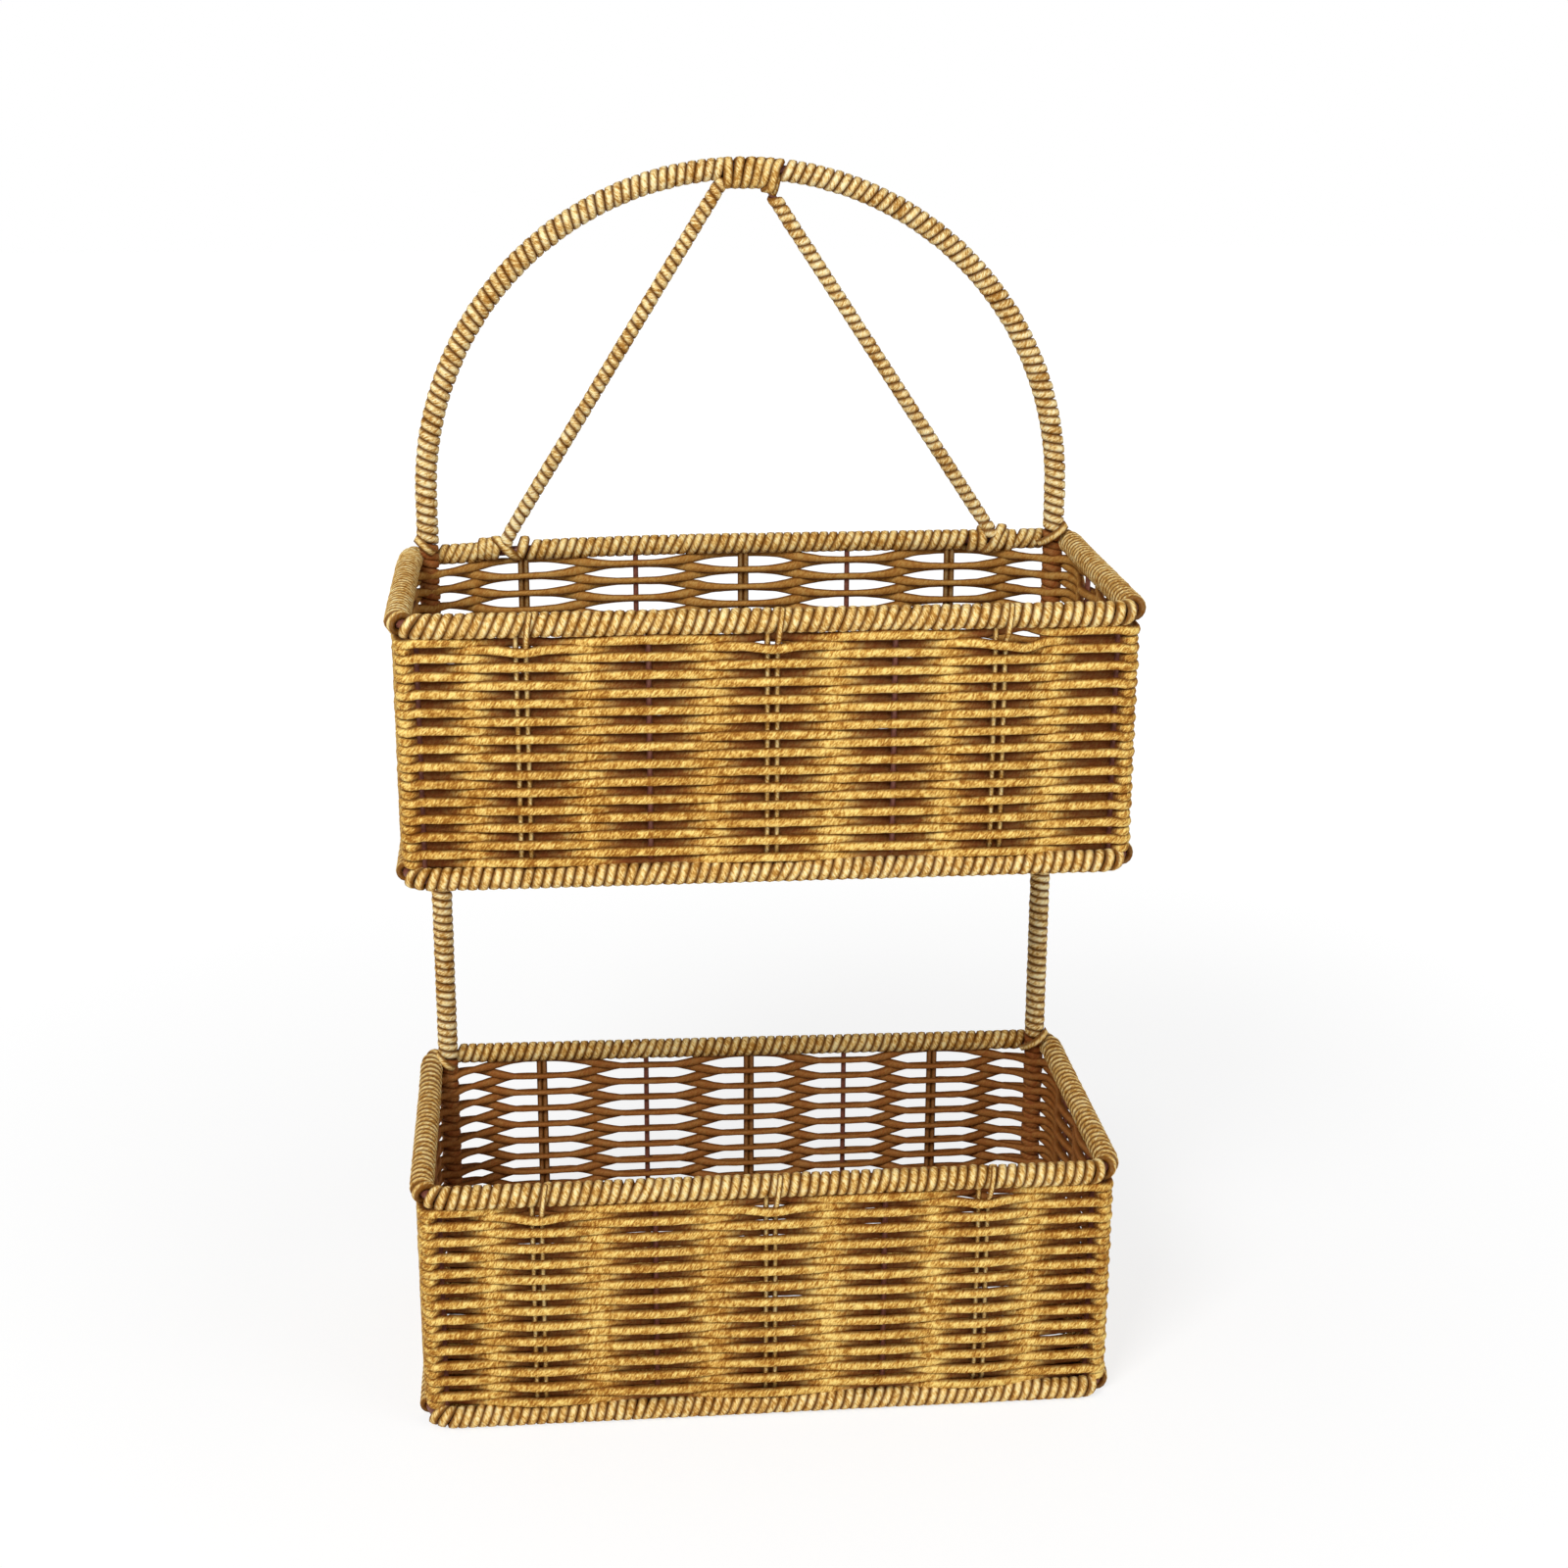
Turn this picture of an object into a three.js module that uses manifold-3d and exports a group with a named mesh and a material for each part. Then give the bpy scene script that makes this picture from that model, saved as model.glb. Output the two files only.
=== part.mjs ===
// A hanging shelf of two open baskets, one above the other, woven in twisted paper cord on a wire frame.
// One bent rod makes the arch at the top and the two legs that carry both baskets at their back corners.
// Millimetres, +Z up, +X to the right and -Y towards the viewer. The origin is under the middle of the
// lower basket, on the surface that the shelf stands on.
import * as THREE from "three";
import { mergeVertices } from "three/addons/utils/BufferGeometryUtils.js";
import Module from "manifold-3d";

// Overall sizes, between the centre lines of the wires
const RIM_WIDTH = 348;
const RIM_DEPTH = 168;
const RIM_CORNER_RADIUS = 14;
const BASKET_HEIGHT = 123.5;
const BASKET_SPACING = 291;
const ARCH_SPRING = 29.5;

// Wires, and the diameters of their windings of cord
const FRAME_WIRE = 5;
const BRACE_WIRE = 3;
const RIM_COVER = 12.4;
const BASE_COVER = 11.4;
const ARCH_COVER = 11.6;
const LEG_COVER = 11.2;
const BRACE_COVER = 7.6;
const BARE_CORNER = THREE.MathUtils.degToRad(30);
const RING_SEAM = 0.4;

// The hoop's legs lie inside the rims' back corners, at this angle round each corner from the side
const LEG_ANGLE = THREE.MathUtils.degToRad(55);

// The brace's feet on the upper back rim, from the rim's ends, and the ends of its flat top, from the middle
const LEFT_FOOT_INSET = 49;
const RIGHT_FOOT_INSET = 41;
const BRACE_TOP_LEFT = -10;
const BRACE_TOP_RIGHT = 8.5;
const BRACE_BEND = 8;

// Lashings: flattened cord, wound in the same sense as all the other windings
const CORD_WIDTH = 3.9;
const CORD_THICKNESS = 3.4;
const TURN_PITCH = 4.9;
const CROWN_TURNS = 5;
const CROWN_LEAN = 0.25;
const CROWN_PAST_BRACE = 4.2;
const FOOT_TURNS = 3;

// Weave: the cord stands proud of each stake by its own thickness
const WEAVE_THICKNESS = 11.2;
const FLOOR_THICKNESS = 9;
const PAIR_CORD = 2.8;
const PAIR_SPREAD = 4.4;
const PAIR_WAIST = 0.75;
const PAIR_CAP = THREE.MathUtils.degToRad(27);
const SINGLE_WIRE = 2.4;
const RIB_PLACES = [-117, -58, 0, 58, 108];
const SIDE_SPACES = 3;
const RIB_BEND = 6;

// The front corners' thin posts, and how far they stand in from the side wall's and front wall's middles
const FRONT_POST = 3;
const POST_FROM_SIDE = 8.5;
const POST_FROM_FRONT = 4.5;

// The back wall's rows lie apart on both sides of each stake
const GAP_ROWS = 7;
const GAP_WIDTH = 18;
const GAP_HEIGHT = 7;
const GAP_FROM_STAKE = 5.5;

const CLEARANCE = 0.3;
const STEPS_PER_QUARTER = 4;
const ARCH_STEPS = 14;
const STEPS_PER_TURN = 24;
const SIDES = 12;
const THIN_SIDES = 8;
const CORD_SIDES = 6;

// Places that follow from the sizes above
const halfWidth = RIM_WIDTH / 2;
const halfDepth = RIM_DEPTH / 2;
const frameHeight = BASKET_SPACING + BASKET_HEIGHT + BASE_COVER / 2;
const legReach = RIM_CORNER_RADIUS - FRAME_WIRE - CLEARANCE;
const legX = halfWidth - RIM_CORNER_RADIUS + legReach * Math.cos(LEG_ANGLE);
const legY = halfDepth - RIM_CORNER_RADIUS + legReach * Math.sin(LEG_ANGLE);
const crownZ = ARCH_SPRING + legX;
const leftFoot = LEFT_FOOT_INSET - halfWidth;
const rightFoot = halfWidth - RIGHT_FOOT_INSET;
const wallTop = -RIM_COVER / 2 - CLEARANCE;
const wallBottom = -BASKET_HEIGHT + BASE_COVER / 2 + CLEARANCE;

const cordColour = new THREE.MeshStandardMaterial({ color: 0xc99a4b, roughness: 0.75, metalness: 0 });
const weaveColour = new THREE.MeshStandardMaterial({ color: 0xb5813a, roughness: 0.8, metalness: 0 });
const wireColour = new THREE.MeshStandardMaterial({ color: 0x5c3020, roughness: 0.5, metalness: 0.6 });

const wasm = await Module();
wasm.setup();

// Section shapes. A wire's corners lie on its circle; a winding and a hole have their flats on theirs,
// so that a flat faces each axis and what runs in a hole keeps its clearance.

function polygon(path, cornerRadius, sides) {
  for (let i = 0; i < sides; i++) {
    const angle = ((2 * i + 1) * Math.PI) / sides;
    const x = cornerRadius * Math.cos(angle);
    const y = cornerRadius * Math.sin(angle);
    if (i === 0) path.moveTo(x, y);
    else path.lineTo(x, y);
  }
  path.closePath();
  return path;
}

function wireSection(diameter) {
  return polygon(new THREE.Shape(), diameter / 2, THIN_SIDES);
}

function flatSection(diameter, sides) {
  return polygon(new THREE.Shape(), diameter / 2 / Math.cos(Math.PI / sides), sides);
}

function sleeveSection(coverDiameter, wireDiameter) {
  const section = flatSection(coverDiameter, SIDES);
  const bore = wireDiameter / 2 + CLEARANCE;
  section.holes.push(polygon(new THREE.Path(), bore / Math.cos(Math.PI / THIN_SIDES), THIN_SIDES));
  return section;
}

// Two cords side by side, as one outline with a waist; the pair is spread along the section's second axis.
function pairSection() {
  const radius = PAIR_CORD / 2;
  const offset = PAIR_SPREAD / 2;
  const waist = PAIR_WAIST * radius;
  const cap = [PAIR_CAP, Math.PI / 2, Math.PI - PAIR_CAP].map((angle) => {
    return new THREE.Vector2(radius * Math.cos(angle), offset + radius * Math.sin(angle));
  });
  const opposite = cap.map((point) => point.clone().negate());
  return new THREE.Shape([new THREE.Vector2(waist, 0), ...cap, new THREE.Vector2(-waist, 0), ...opposite]);
}

// A stake's channel is square, and clears it by the clearance on every side.
function channelSection(thickness, spread) {
  const x = thickness / 2 + CLEARANCE;
  const y = spread / 2 + CLEARANCE;
  const corners = [
    [x, -y],
    [x, y],
    [-x, y],
    [-x, -y],
  ];
  return new THREE.Shape(corners.map((corner) => new THREE.Vector2(...corner)));
}

// A wire's route in one plane, as straight runs and round bends, with a station wherever it turns.
// place turns the plane's two measures into a point of the part.
class Route extends THREE.Curve {
  constructor(place, start, heading) {
    super();
    this.place = place;
    this.stations = [{ at: new THREE.Vector2(...start), heading }];
  }

  get last() {
    return this.stations[this.stations.length - 1];
  }

  straight(length) {
    const { at, heading } = this.last;
    const run = new THREE.Vector2(Math.cos(heading), Math.sin(heading)).multiplyScalar(length);
    this.stations.push({ at: at.clone().add(run), heading });
    return this;
  }

  bend(radius, turn, steps = STEPS_PER_QUARTER) {
    const { at, heading } = this.last;
    const side = Math.sign(turn) * radius;
    const centre = new THREE.Vector2(-Math.sin(heading), Math.cos(heading)).multiplyScalar(side).add(at);
    for (let i = 1; i <= steps; i++) {
      const now = heading + (turn * i) / steps;
      const spoke = new THREE.Vector2(Math.sin(now), -Math.cos(now)).multiplyScalar(side);
      this.stations.push({ at: centre.clone().add(spoke), heading: now });
    }
    return this;
  }

  getPointAt(share) {
    const { at } = this.stations[Math.round(share * (this.stations.length - 1))];
    return this.place(at.x, at.y);
  }

  // The section's first axis lies in the route's plane, and its second axis across the plane.
  computeFrenetFrames() {
    const origin = this.place(0, 0);
    const first = this.place(1, 0).sub(origin);
    const second = this.place(0, 1).sub(origin);
    const across = first.clone().cross(second);
    const tangents = this.stations.map(({ heading }) =>
      first.clone().multiplyScalar(Math.cos(heading)).addScaledVector(second, Math.sin(heading)),
    );
    const normals = tangents.map((tangent) => across.clone().cross(tangent));
    return { tangents, normals, binormals: tangents.map(() => across) };
  }
}

const levelPlane = (level) => (a, b) => new THREE.Vector3(a, b, level);
const frontPlane = (depth) => (a, b) => new THREE.Vector3(a, depth, b);
const sidePlane = (across) => (a, b) => new THREE.Vector3(across, a, b);

function sweep(section, route) {
  return new THREE.ExtrudeGeometry(section, { extrudePath: route, steps: route.stations.length - 1 });
}

function piece(name, geometry, material) {
  const mesh = new THREE.Mesh(geometry, material);
  mesh.name = name;
  return mesh;
}

function solidOf(geometry) {
  const bare = geometry.clone();
  bare.deleteAttribute("normal");
  bare.deleteAttribute("uv");
  const merged = mergeVertices(bare, 1e-3);
  const triVerts = new Uint32Array(merged.index.array);
  const vertProperties = merged.attributes.position.array;
  return new wasm.Manifold(new wasm.Mesh({ numProp: 3, vertProperties, triVerts }));
}

function geometryOf(solid) {
  const mesh = solid.getMesh();
  const geometry = new THREE.BufferGeometry();
  geometry.setAttribute("position", new THREE.BufferAttribute(mesh.vertProperties, 3));
  geometry.setIndex(new THREE.BufferAttribute(mesh.triVerts, 1));
  geometry.computeVertexNormals();
  return geometry;
}

function cutAll(geometry, cutters) {
  const cut = cutters.reduce((rest, cutter) => rest.subtract(solidOf(cutter)), solidOf(geometry));
  return geometryOf(cut);
}

// Hoop: the left leg from the floor, the half-circle arch and the right leg, in one rod.

function hoopRoute(depth) {
  const legEnd = -BASKET_SPACING - BASKET_HEIGHT - FRAME_WIRE / 2;
  return new Route(frontPlane(depth), [-legX, legEnd], Math.PI / 2)
    .straight(ARCH_SPRING - legEnd)
    .bend(legX, -Math.PI, 2 * ARCH_STEPS)
    .straight(ARCH_SPRING - legEnd);
}

// A winding on the arch and the top of one leg, from the crown lashing down to the rim.
function archCover(side, crownOffset) {
  const fromCrown = Math.asin(crownOffset / legX);
  const legTop = RIM_COVER / 2 + CLEARANCE;
  const foot = new Route(frontPlane(legY), [side * legX, legTop], Math.PI / 2);
  foot.straight(ARCH_SPRING - legTop);
  foot.bend(legX, side * (Math.PI / 2 - fromCrown), ARCH_STEPS);
  return sweep(sleeveSection(ARCH_COVER, FRAME_WIRE), foot);
}

function legCover(side) {
  const top = -BASKET_HEIGHT - BASE_COVER / 2 - CLEARANCE;
  const bottom = -BASKET_SPACING + RIM_COVER / 2 + CLEARANCE;
  const route = new Route(frontPlane(legY), [side * legX, bottom], Math.PI / 2).straight(top - bottom);
  return sweep(sleeveSection(LEG_COVER, FRAME_WIRE), route);
}

// Brace: an inverted V with a flat top under the crown and its feet on the upper back rim wire.
// It leans, because the rim wire lies behind the hoop's plane.
const sagAtBrace = Math.max(BRACE_TOP_LEFT ** 2, BRACE_TOP_RIGHT ** 2) / (2 * legX);
const braceTopZ = crownZ - (FRAME_WIRE + BRACE_WIRE) / 2 - CLEARANCE - sagAtBrace;
const braceLean = Math.atan2(halfDepth - legY, braceTopZ);
const braceTop = Math.hypot(halfDepth - legY, braceTopZ);
const braceFoot = (FRAME_WIRE / 2 + CLEARANCE) / Math.cos(braceLean) + BRACE_WIRE / 2;

// One arm's direction from its foot, and the length of wire that the bend at its top takes.
function braceArm(footX, topX) {
  const heading = Math.atan2(braceTop - braceFoot, topX - footX);
  const turn = topX > footX ? heading : Math.PI - heading;
  const bendTake = BRACE_BEND * Math.tan(turn / 2);
  const length = Math.hypot(topX - footX, braceTop - braceFoot);
  return { heading, turn, bendTake, length };
}

const leftArm = braceArm(leftFoot, BRACE_TOP_LEFT);
const rightArm = braceArm(rightFoot, BRACE_TOP_RIGHT);

// The lashings' middle line runs at cordReach from the wire that they bind. The crown lashing's loops are
// longer by crownDrop, lean by crownLean each way, and run on a little past the brace's flat top.
const cordReach = FRAME_WIRE / 2 + CLEARANCE + CORD_THICKNESS / 2;
const crownDrop = crownZ - braceTopZ;
const crownLean = CROWN_LEAN * (crownDrop / 2 + cordReach);
const crownRight = BRACE_TOP_RIGHT + CROWN_PAST_BRACE;

function braceRod() {
  const flat = BRACE_TOP_RIGHT - BRACE_TOP_LEFT - leftArm.bendTake - rightArm.bendTake;
  const route = new Route(frontPlane(0), [leftFoot, braceFoot], leftArm.heading)
    .straight(leftArm.length - leftArm.bendTake)
    .bend(BRACE_BEND, -leftArm.turn)
    .straight(flat)
    .bend(BRACE_BEND, -rightArm.turn)
    .straight(rightArm.length - rightArm.bendTake);
  return sweep(wireSection(BRACE_WIRE), route);
}

// A winding on one arm, from above the rim's winding to below the crown lashing, whose lowest loop's
// middle lies this far beyond the arm's top.
function braceCover(arm, footX, loopBeyond) {
  const lowCorner = (BRACE_COVER / 2) * Math.cos(arm.turn);
  const start = (RIM_COVER / 2 + lowCorner + 2 * CLEARANCE - braceFoot) / Math.sin(arm.turn);
  const highCorner = (BRACE_COVER / 2) * Math.sin(arm.turn);
  const end = arm.length - (loopBeyond + CORD_WIDTH / 2 + highCorner + CLEARANCE) / Math.cos(arm.turn);
  const along = (distance) => [
    footX + distance * Math.cos(arm.heading),
    braceFoot + distance * Math.sin(arm.heading),
  ];
  const route = new Route(frontPlane(0), along(start), arm.heading).straight(end - start);
  return sweep(sleeveSection(BRACE_COVER, BRACE_WIRE), route);
}

// Lashings: one unbroken flattened cord, wound round what it binds, with straight ends.

// The cord's rings of points about its middle line; wide is the direction of its width.
function cordRings(middle) {
  const along = new THREE.Vector3(1, 0, 0);
  return middle.map((point, i) => {
    const before = middle[Math.max(i - 1, 0)];
    const after = middle[Math.min(i + 1, middle.length - 1)];
    const tangent = after.clone().sub(before).normalize();
    const wide = along.clone().addScaledVector(tangent, -along.dot(tangent)).normalize();
    const thick = tangent.clone().cross(wide);
    const ring = [];
    for (let side = 0; side < CORD_SIDES; side++) {
      const angle = (2 * Math.PI * side) / CORD_SIDES;
      ring.push(
        point
          .clone()
          .addScaledVector(wide, (CORD_WIDTH / 2) * Math.cos(angle))
          .addScaledVector(thick, (CORD_THICKNESS / 2) * Math.sin(angle)),
      );
    }
    return ring;
  });
}

function cordSolid(middle) {
  const rings = cordRings(middle);
  const points = rings.flat();
  const faces = [];
  const sides = CORD_SIDES;
  for (let r = 0; r + 1 < rings.length; r++) {
    for (let s = 0; s < sides; s++) {
      const next = (s + 1) % sides;
      const [a, b, c, d] = [r * sides + s, r * sides + next, (r + 1) * sides + next, (r + 1) * sides + s];
      faces.push(a, b, c, a, c, d);
    }
  }
  const lastRing = (rings.length - 1) * sides;
  for (let s = 1; s + 1 < sides; s++) {
    faces.push(0, s + 1, s);
    faces.push(lastRing, lastRing + s, lastRing + s + 1);
  }
  const geometry = new THREE.BufferGeometry().setFromPoints(points);
  geometry.setIndex(faces);
  return geometry;
}

// Least distance between the surfaces of two turns, measured on the cord's points and edges.
function leastTurnGap(middle) {
  const rings = cordRings(middle);
  let least = Infinity;
  for (let i = 0; i < rings.length; i++) {
    for (let j = i + STEPS_PER_TURN / 2; j < rings.length; j++) {
      for (const p of rings[i]) {
        for (let s = 0; s < CORD_SIDES; s++) {
          const edge = new THREE.Line3(rings[j][s], rings[j][(s + 1) % CORD_SIDES]);
          least = Math.min(least, edge.closestPointToPoint(p, true, new THREE.Vector3()).distanceTo(p));
        }
      }
    }
  }
  return least;
}

// Adds a straight end of one cord width at each end of a winding's middle line.
function withStraightEnds(middle) {
  const beyond = (from, to) => to.clone().add(to.clone().sub(from).normalize().multiplyScalar(CORD_WIDTH));
  const first = beyond(middle[1], middle[0]);
  const last = beyond(middle[middle.length - 2], middle[middle.length - 1]);
  return [first, ...middle, last];
}

function lashing(name, middle) {
  const whole = withStraightEnds(middle);
  console.log(`${name}: least gap between turns ${leastTurnGap(whole).toFixed(2)} mm`);
  return piece(name, cordSolid(whole), cordColour);
}

// How far the brace's middle line lies below its flat top at x, beyond the bend at the top of one arm.
function armDrop(beyond, arm) {
  const fall = beyond * Math.tan(arm.turn);
  const atBend = BRACE_BEND * (1 / Math.cos(arm.turn / 2) - 1);
  return (fall + Math.hypot(fall, 2 * atBend)) / 2;
}

// Crown lashing: long loops round the hoop and the brace's flat top, leaning to the right.
function crownLashing() {
  const middle = [];
  const stepsTotal = CROWN_TURNS * STEPS_PER_TURN;
  for (let i = 0; i <= stepsTotal; i++) {
    const share = i / stepsTotal;
    const angle = share * CROWN_TURNS * 2 * Math.PI;
    const level = cordReach * Math.cos(angle);
    const straightX = THREE.MathUtils.lerp(BRACE_TOP_LEFT, crownRight, share);
    const below = Math.min(1, Math.max(0, (-2 * level) / cordReach));
    const lowX = straightX - crownLean * below;
    const armsDrop = armDrop(BRACE_TOP_LEFT - lowX, leftArm) + armDrop(lowX - BRACE_TOP_RIGHT, rightArm);
    const drop = crownDrop + armsDrop;
    const height = level - drop * below;
    const x = straightX + CROWN_LEAN * (Math.max(height, -crownDrop - cordReach) + crownDrop / 2);
    const sag = x ** 2 / (2 * legX);
    middle.push(new THREE.Vector3(x, legY + cordReach * Math.sin(angle), crownZ + height - sag));
  }
  return lashing("crown_lashing", middle);
}

// Foot lashing: turns on the bare rim wire that step apart where the brace's foot stands on it.
function footStep(arm) {
  return BRACE_WIRE / Math.sin(arm.turn) + CORD_WIDTH + CORD_THICKNESS / Math.tan(arm.turn) + 4 * CLEARANCE;
}

function footRange(arm, footX) {
  const middleX = footX + (cordReach - braceFoot) / Math.tan(arm.heading);
  const half = (footStep(arm) + (FOOT_TURNS - 1) * TURN_PITCH) / 2;
  return { middleX, half };
}

function footLashing(name, arm, footX) {
  const { middleX, half } = footRange(arm, footX);
  const wide = footStep(arm) - TURN_PITCH;
  const middle = [];
  for (let i = 0; i <= FOOT_TURNS * STEPS_PER_TURN; i++) {
    const turns = i / STEPS_PER_TURN;
    const angle = turns * 2 * Math.PI;
    const crossing = THREE.MathUtils.smoothstep(turns, (FOOT_TURNS - 1) / 2, (FOOT_TURNS + 1) / 2);
    const x = middleX - half + turns * TURN_PITCH + crossing * wide;
    middle.push(new THREE.Vector3(x, halfDepth + cordReach * Math.sin(angle), cordReach * Math.cos(angle)));
  }
  return lashing(name, middle);
}

// Rings: the rim and base wires of a basket, bent round and butted at the middle of the back.

function ringWire(level) {
  const run = RIM_WIDTH - 2 * RIM_CORNER_RADIUS;
  const depthRun = RIM_DEPTH - 2 * RIM_CORNER_RADIUS;
  const route = new Route(levelPlane(level), [-RING_SEAM / 2, halfDepth], Math.PI)
    .straight((run - RING_SEAM) / 2)
    .bend(RIM_CORNER_RADIUS, Math.PI / 2)
    .straight(depthRun)
    .bend(RIM_CORNER_RADIUS, Math.PI / 2)
    .straight(run)
    .bend(RIM_CORNER_RADIUS, Math.PI / 2)
    .straight(depthRun)
    .bend(RIM_CORNER_RADIUS, Math.PI / 2)
    .straight((run - RING_SEAM) / 2);
  return sweep(wireSection(FRAME_WIRE), route);
}

// The windings run round the front corners until only BARE_CORNER of wire is left between them.
const coveredBend = (Math.PI / 2 - BARE_CORNER) / 2;

function frontCover(level, cover) {
  const straightEnd = -halfWidth + RIM_CORNER_RADIUS;
  const centreY = -halfDepth + RIM_CORNER_RADIUS;
  const start = [
    straightEnd - RIM_CORNER_RADIUS * Math.sin(coveredBend),
    centreY - RIM_CORNER_RADIUS * Math.cos(coveredBend),
  ];
  const route = new Route(levelPlane(level), start, -coveredBend)
    .bend(RIM_CORNER_RADIUS, coveredBend, 2)
    .straight(RIM_WIDTH - 2 * RIM_CORNER_RADIUS)
    .bend(RIM_CORNER_RADIUS, coveredBend, 2);
  return sweep(sleeveSection(cover, FRAME_WIRE), route);
}

function sideCover(level, cover, side) {
  const start = [side * halfWidth, halfDepth - RIM_CORNER_RADIUS];
  const route = new Route(levelPlane(level), start, -Math.PI / 2)
    .straight(RIM_DEPTH - 2 * RIM_CORNER_RADIUS)
    .bend(RIM_CORNER_RADIUS, -side * coveredBend, 2);
  return sweep(sleeveSection(cover, FRAME_WIRE), route);
}

function backCover(level, cover, fromX, toX) {
  const route = new Route(levelPlane(level), [fromX, halfDepth], 0).straight(toX - fromX);
  return sweep(sleeveSection(cover, FRAME_WIRE), route);
}

// Ribs: stakes that run down one wall, pass inside the base winding, cross the floor and rise again.
// reach is the half span between the walls; drop is the crossing's place below the base wire's centre.
function ribRoute(place, reach, thickness, drop, topEnd) {
  const base = -BASKET_HEIGHT;
  const diagonal = (BASE_COVER / 2 + thickness / 2 + CLEARANCE) * Math.SQRT2;
  const bendTake = RIB_BEND * Math.tan(Math.PI / 8);
  const slope = (diagonal + drop) * Math.SQRT2 - 2 * bendTake;
  const wallRun = topEnd - (base + diagonal + bendTake);
  const floorRun = 2 * (reach - diagonal - drop - bendTake);
  return new Route(place, [-reach, topEnd], -Math.PI / 2)
    .straight(wallRun)
    .bend(RIB_BEND, Math.PI / 4, 2)
    .straight(slope)
    .bend(RIB_BEND, Math.PI / 4, 2)
    .straight(floorRun)
    .bend(RIB_BEND, Math.PI / 4, 2)
    .straight(slope)
    .bend(RIB_BEND, Math.PI / 4, 2)
    .straight(wallRun);
}

const ribs = RIB_PLACES.map((x, i) => ({ name: `rib_${i + 1}`, x, isPair: i % 2 === 0 }));

const sideWires = [];
for (let i = 1; i < SIDE_SPACES; i++) {
  sideWires.push({ name: `side_wire_${i}`, y: -halfDepth + (i * RIM_DEPTH) / SIDE_SPACES });
}

const ribDrop = (PAIR_CORD + CLEARANCE) / 2;
const sideWireDrop = -(SINGLE_WIRE + CLEARANCE) / 2;

function ribPath(rib, topEnd) {
  return ribRoute(sidePlane(rib.x), halfDepth, PAIR_CORD, ribDrop, topEnd);
}

function sideWirePath(wire, topEnd) {
  const place = (a, b) => new THREE.Vector3(a, wire.y, b);
  return ribRoute(place, halfWidth, SINGLE_WIRE, sideWireDrop, topEnd);
}

function ribGeometry(rib) {
  return sweep(rib.isPair ? pairSection() : wireSection(SINGLE_WIRE), ribPath(rib, wallTop));
}

// Channels for all the stakes, open at the wall's top edge.
function stakeChannels() {
  const open = wallTop + CLEARANCE;
  const pairSpread = PAIR_SPREAD + PAIR_CORD;
  const channels = ribs.map((rib) => {
    const spread = rib.isPair ? pairSpread : SINGLE_WIRE;
    const thickness = rib.isPair ? PAIR_CORD : SINGLE_WIRE;
    return sweep(channelSection(thickness, spread), ribPath(rib, open));
  });
  const single = channelSection(SINGLE_WIRE, SINGLE_WIRE);
  channels.push(...sideWires.map((wire) => sweep(single, sideWirePath(wire, open))));
  return channels;
}

// Room for the hoop's legs and the front corner posts, from one level to another.
function postChannels(bottom, top) {
  return [-1, 1].flatMap((side) => [
    upright(side * legX, legY, FRAME_WIRE + 2 * CLEARANCE, bottom, top),
    upright(side * frontPostX, frontPostY, FRONT_POST + 2 * CLEARANCE, bottom, top),
  ]);
}

// Posts: the hoop's legs stand in the back corners, and a thin wire in each front corner.
const frontPostX = halfWidth - POST_FROM_SIDE;
const frontPostY = -halfDepth + POST_FROM_FRONT;

function upright(x, y, diameter, bottom, top) {
  const route = new Route(frontPlane(y), [x, bottom], Math.PI / 2).straight(top - bottom);
  return sweep(flatSection(diameter, THIN_SIDES), route);
}

// Radius of the bend that touches both walls' centre lines and passes through a leg inside the corner.
function bendThrough(insetX, insetY) {
  return insetX + insetY + Math.sqrt(2 * insetX * insetY);
}

const frontWeaveBend = RIM_CORNER_RADIUS;
const backWeaveBend = bendThrough(halfWidth - legX, halfDepth - legY);

// A box with round corners, grown by offset from the weave's centre line.
function weaveOutline(path, offset) {
  const right = halfWidth + offset;
  const back = halfDepth + offset;
  const frontRadius = frontWeaveBend + offset;
  const backRadius = backWeaveBend + offset;
  path.moveTo(-right + frontRadius, -back);
  path.lineTo(right - frontRadius, -back);
  path.absarc(right - frontRadius, -back + frontRadius, frontRadius, -Math.PI / 2, 0);
  path.lineTo(right, back - backRadius);
  path.absarc(right - backRadius, back - backRadius, backRadius, 0, Math.PI / 2);
  path.lineTo(-right + backRadius, back);
  path.absarc(-right + backRadius, back - backRadius, backRadius, Math.PI / 2, Math.PI);
  path.lineTo(-right, -back + frontRadius);
  path.absarc(-right + frontRadius, -back + frontRadius, frontRadius, Math.PI, 1.5 * Math.PI);
  return path;
}

// Openings through the back wall, beside every stake.
function weaveGaps() {
  const pitch = (wallTop - wallBottom) / GAP_ROWS;
  const aside = GAP_FROM_STAKE + GAP_WIDTH / 2;
  const gaps = [];
  for (const x of ribs.flatMap((rib) => [rib.x - aside, rib.x + aside])) {
    for (let row = 0; row < GAP_ROWS; row++) {
      const gap = new THREE.BoxGeometry(GAP_WIDTH, 2 * WEAVE_THICKNESS, GAP_HEIGHT);
      gaps.push(gap.translate(x, halfDepth, wallBottom + (row + 0.5) * pitch));
    }
  }
  return gaps;
}

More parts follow.
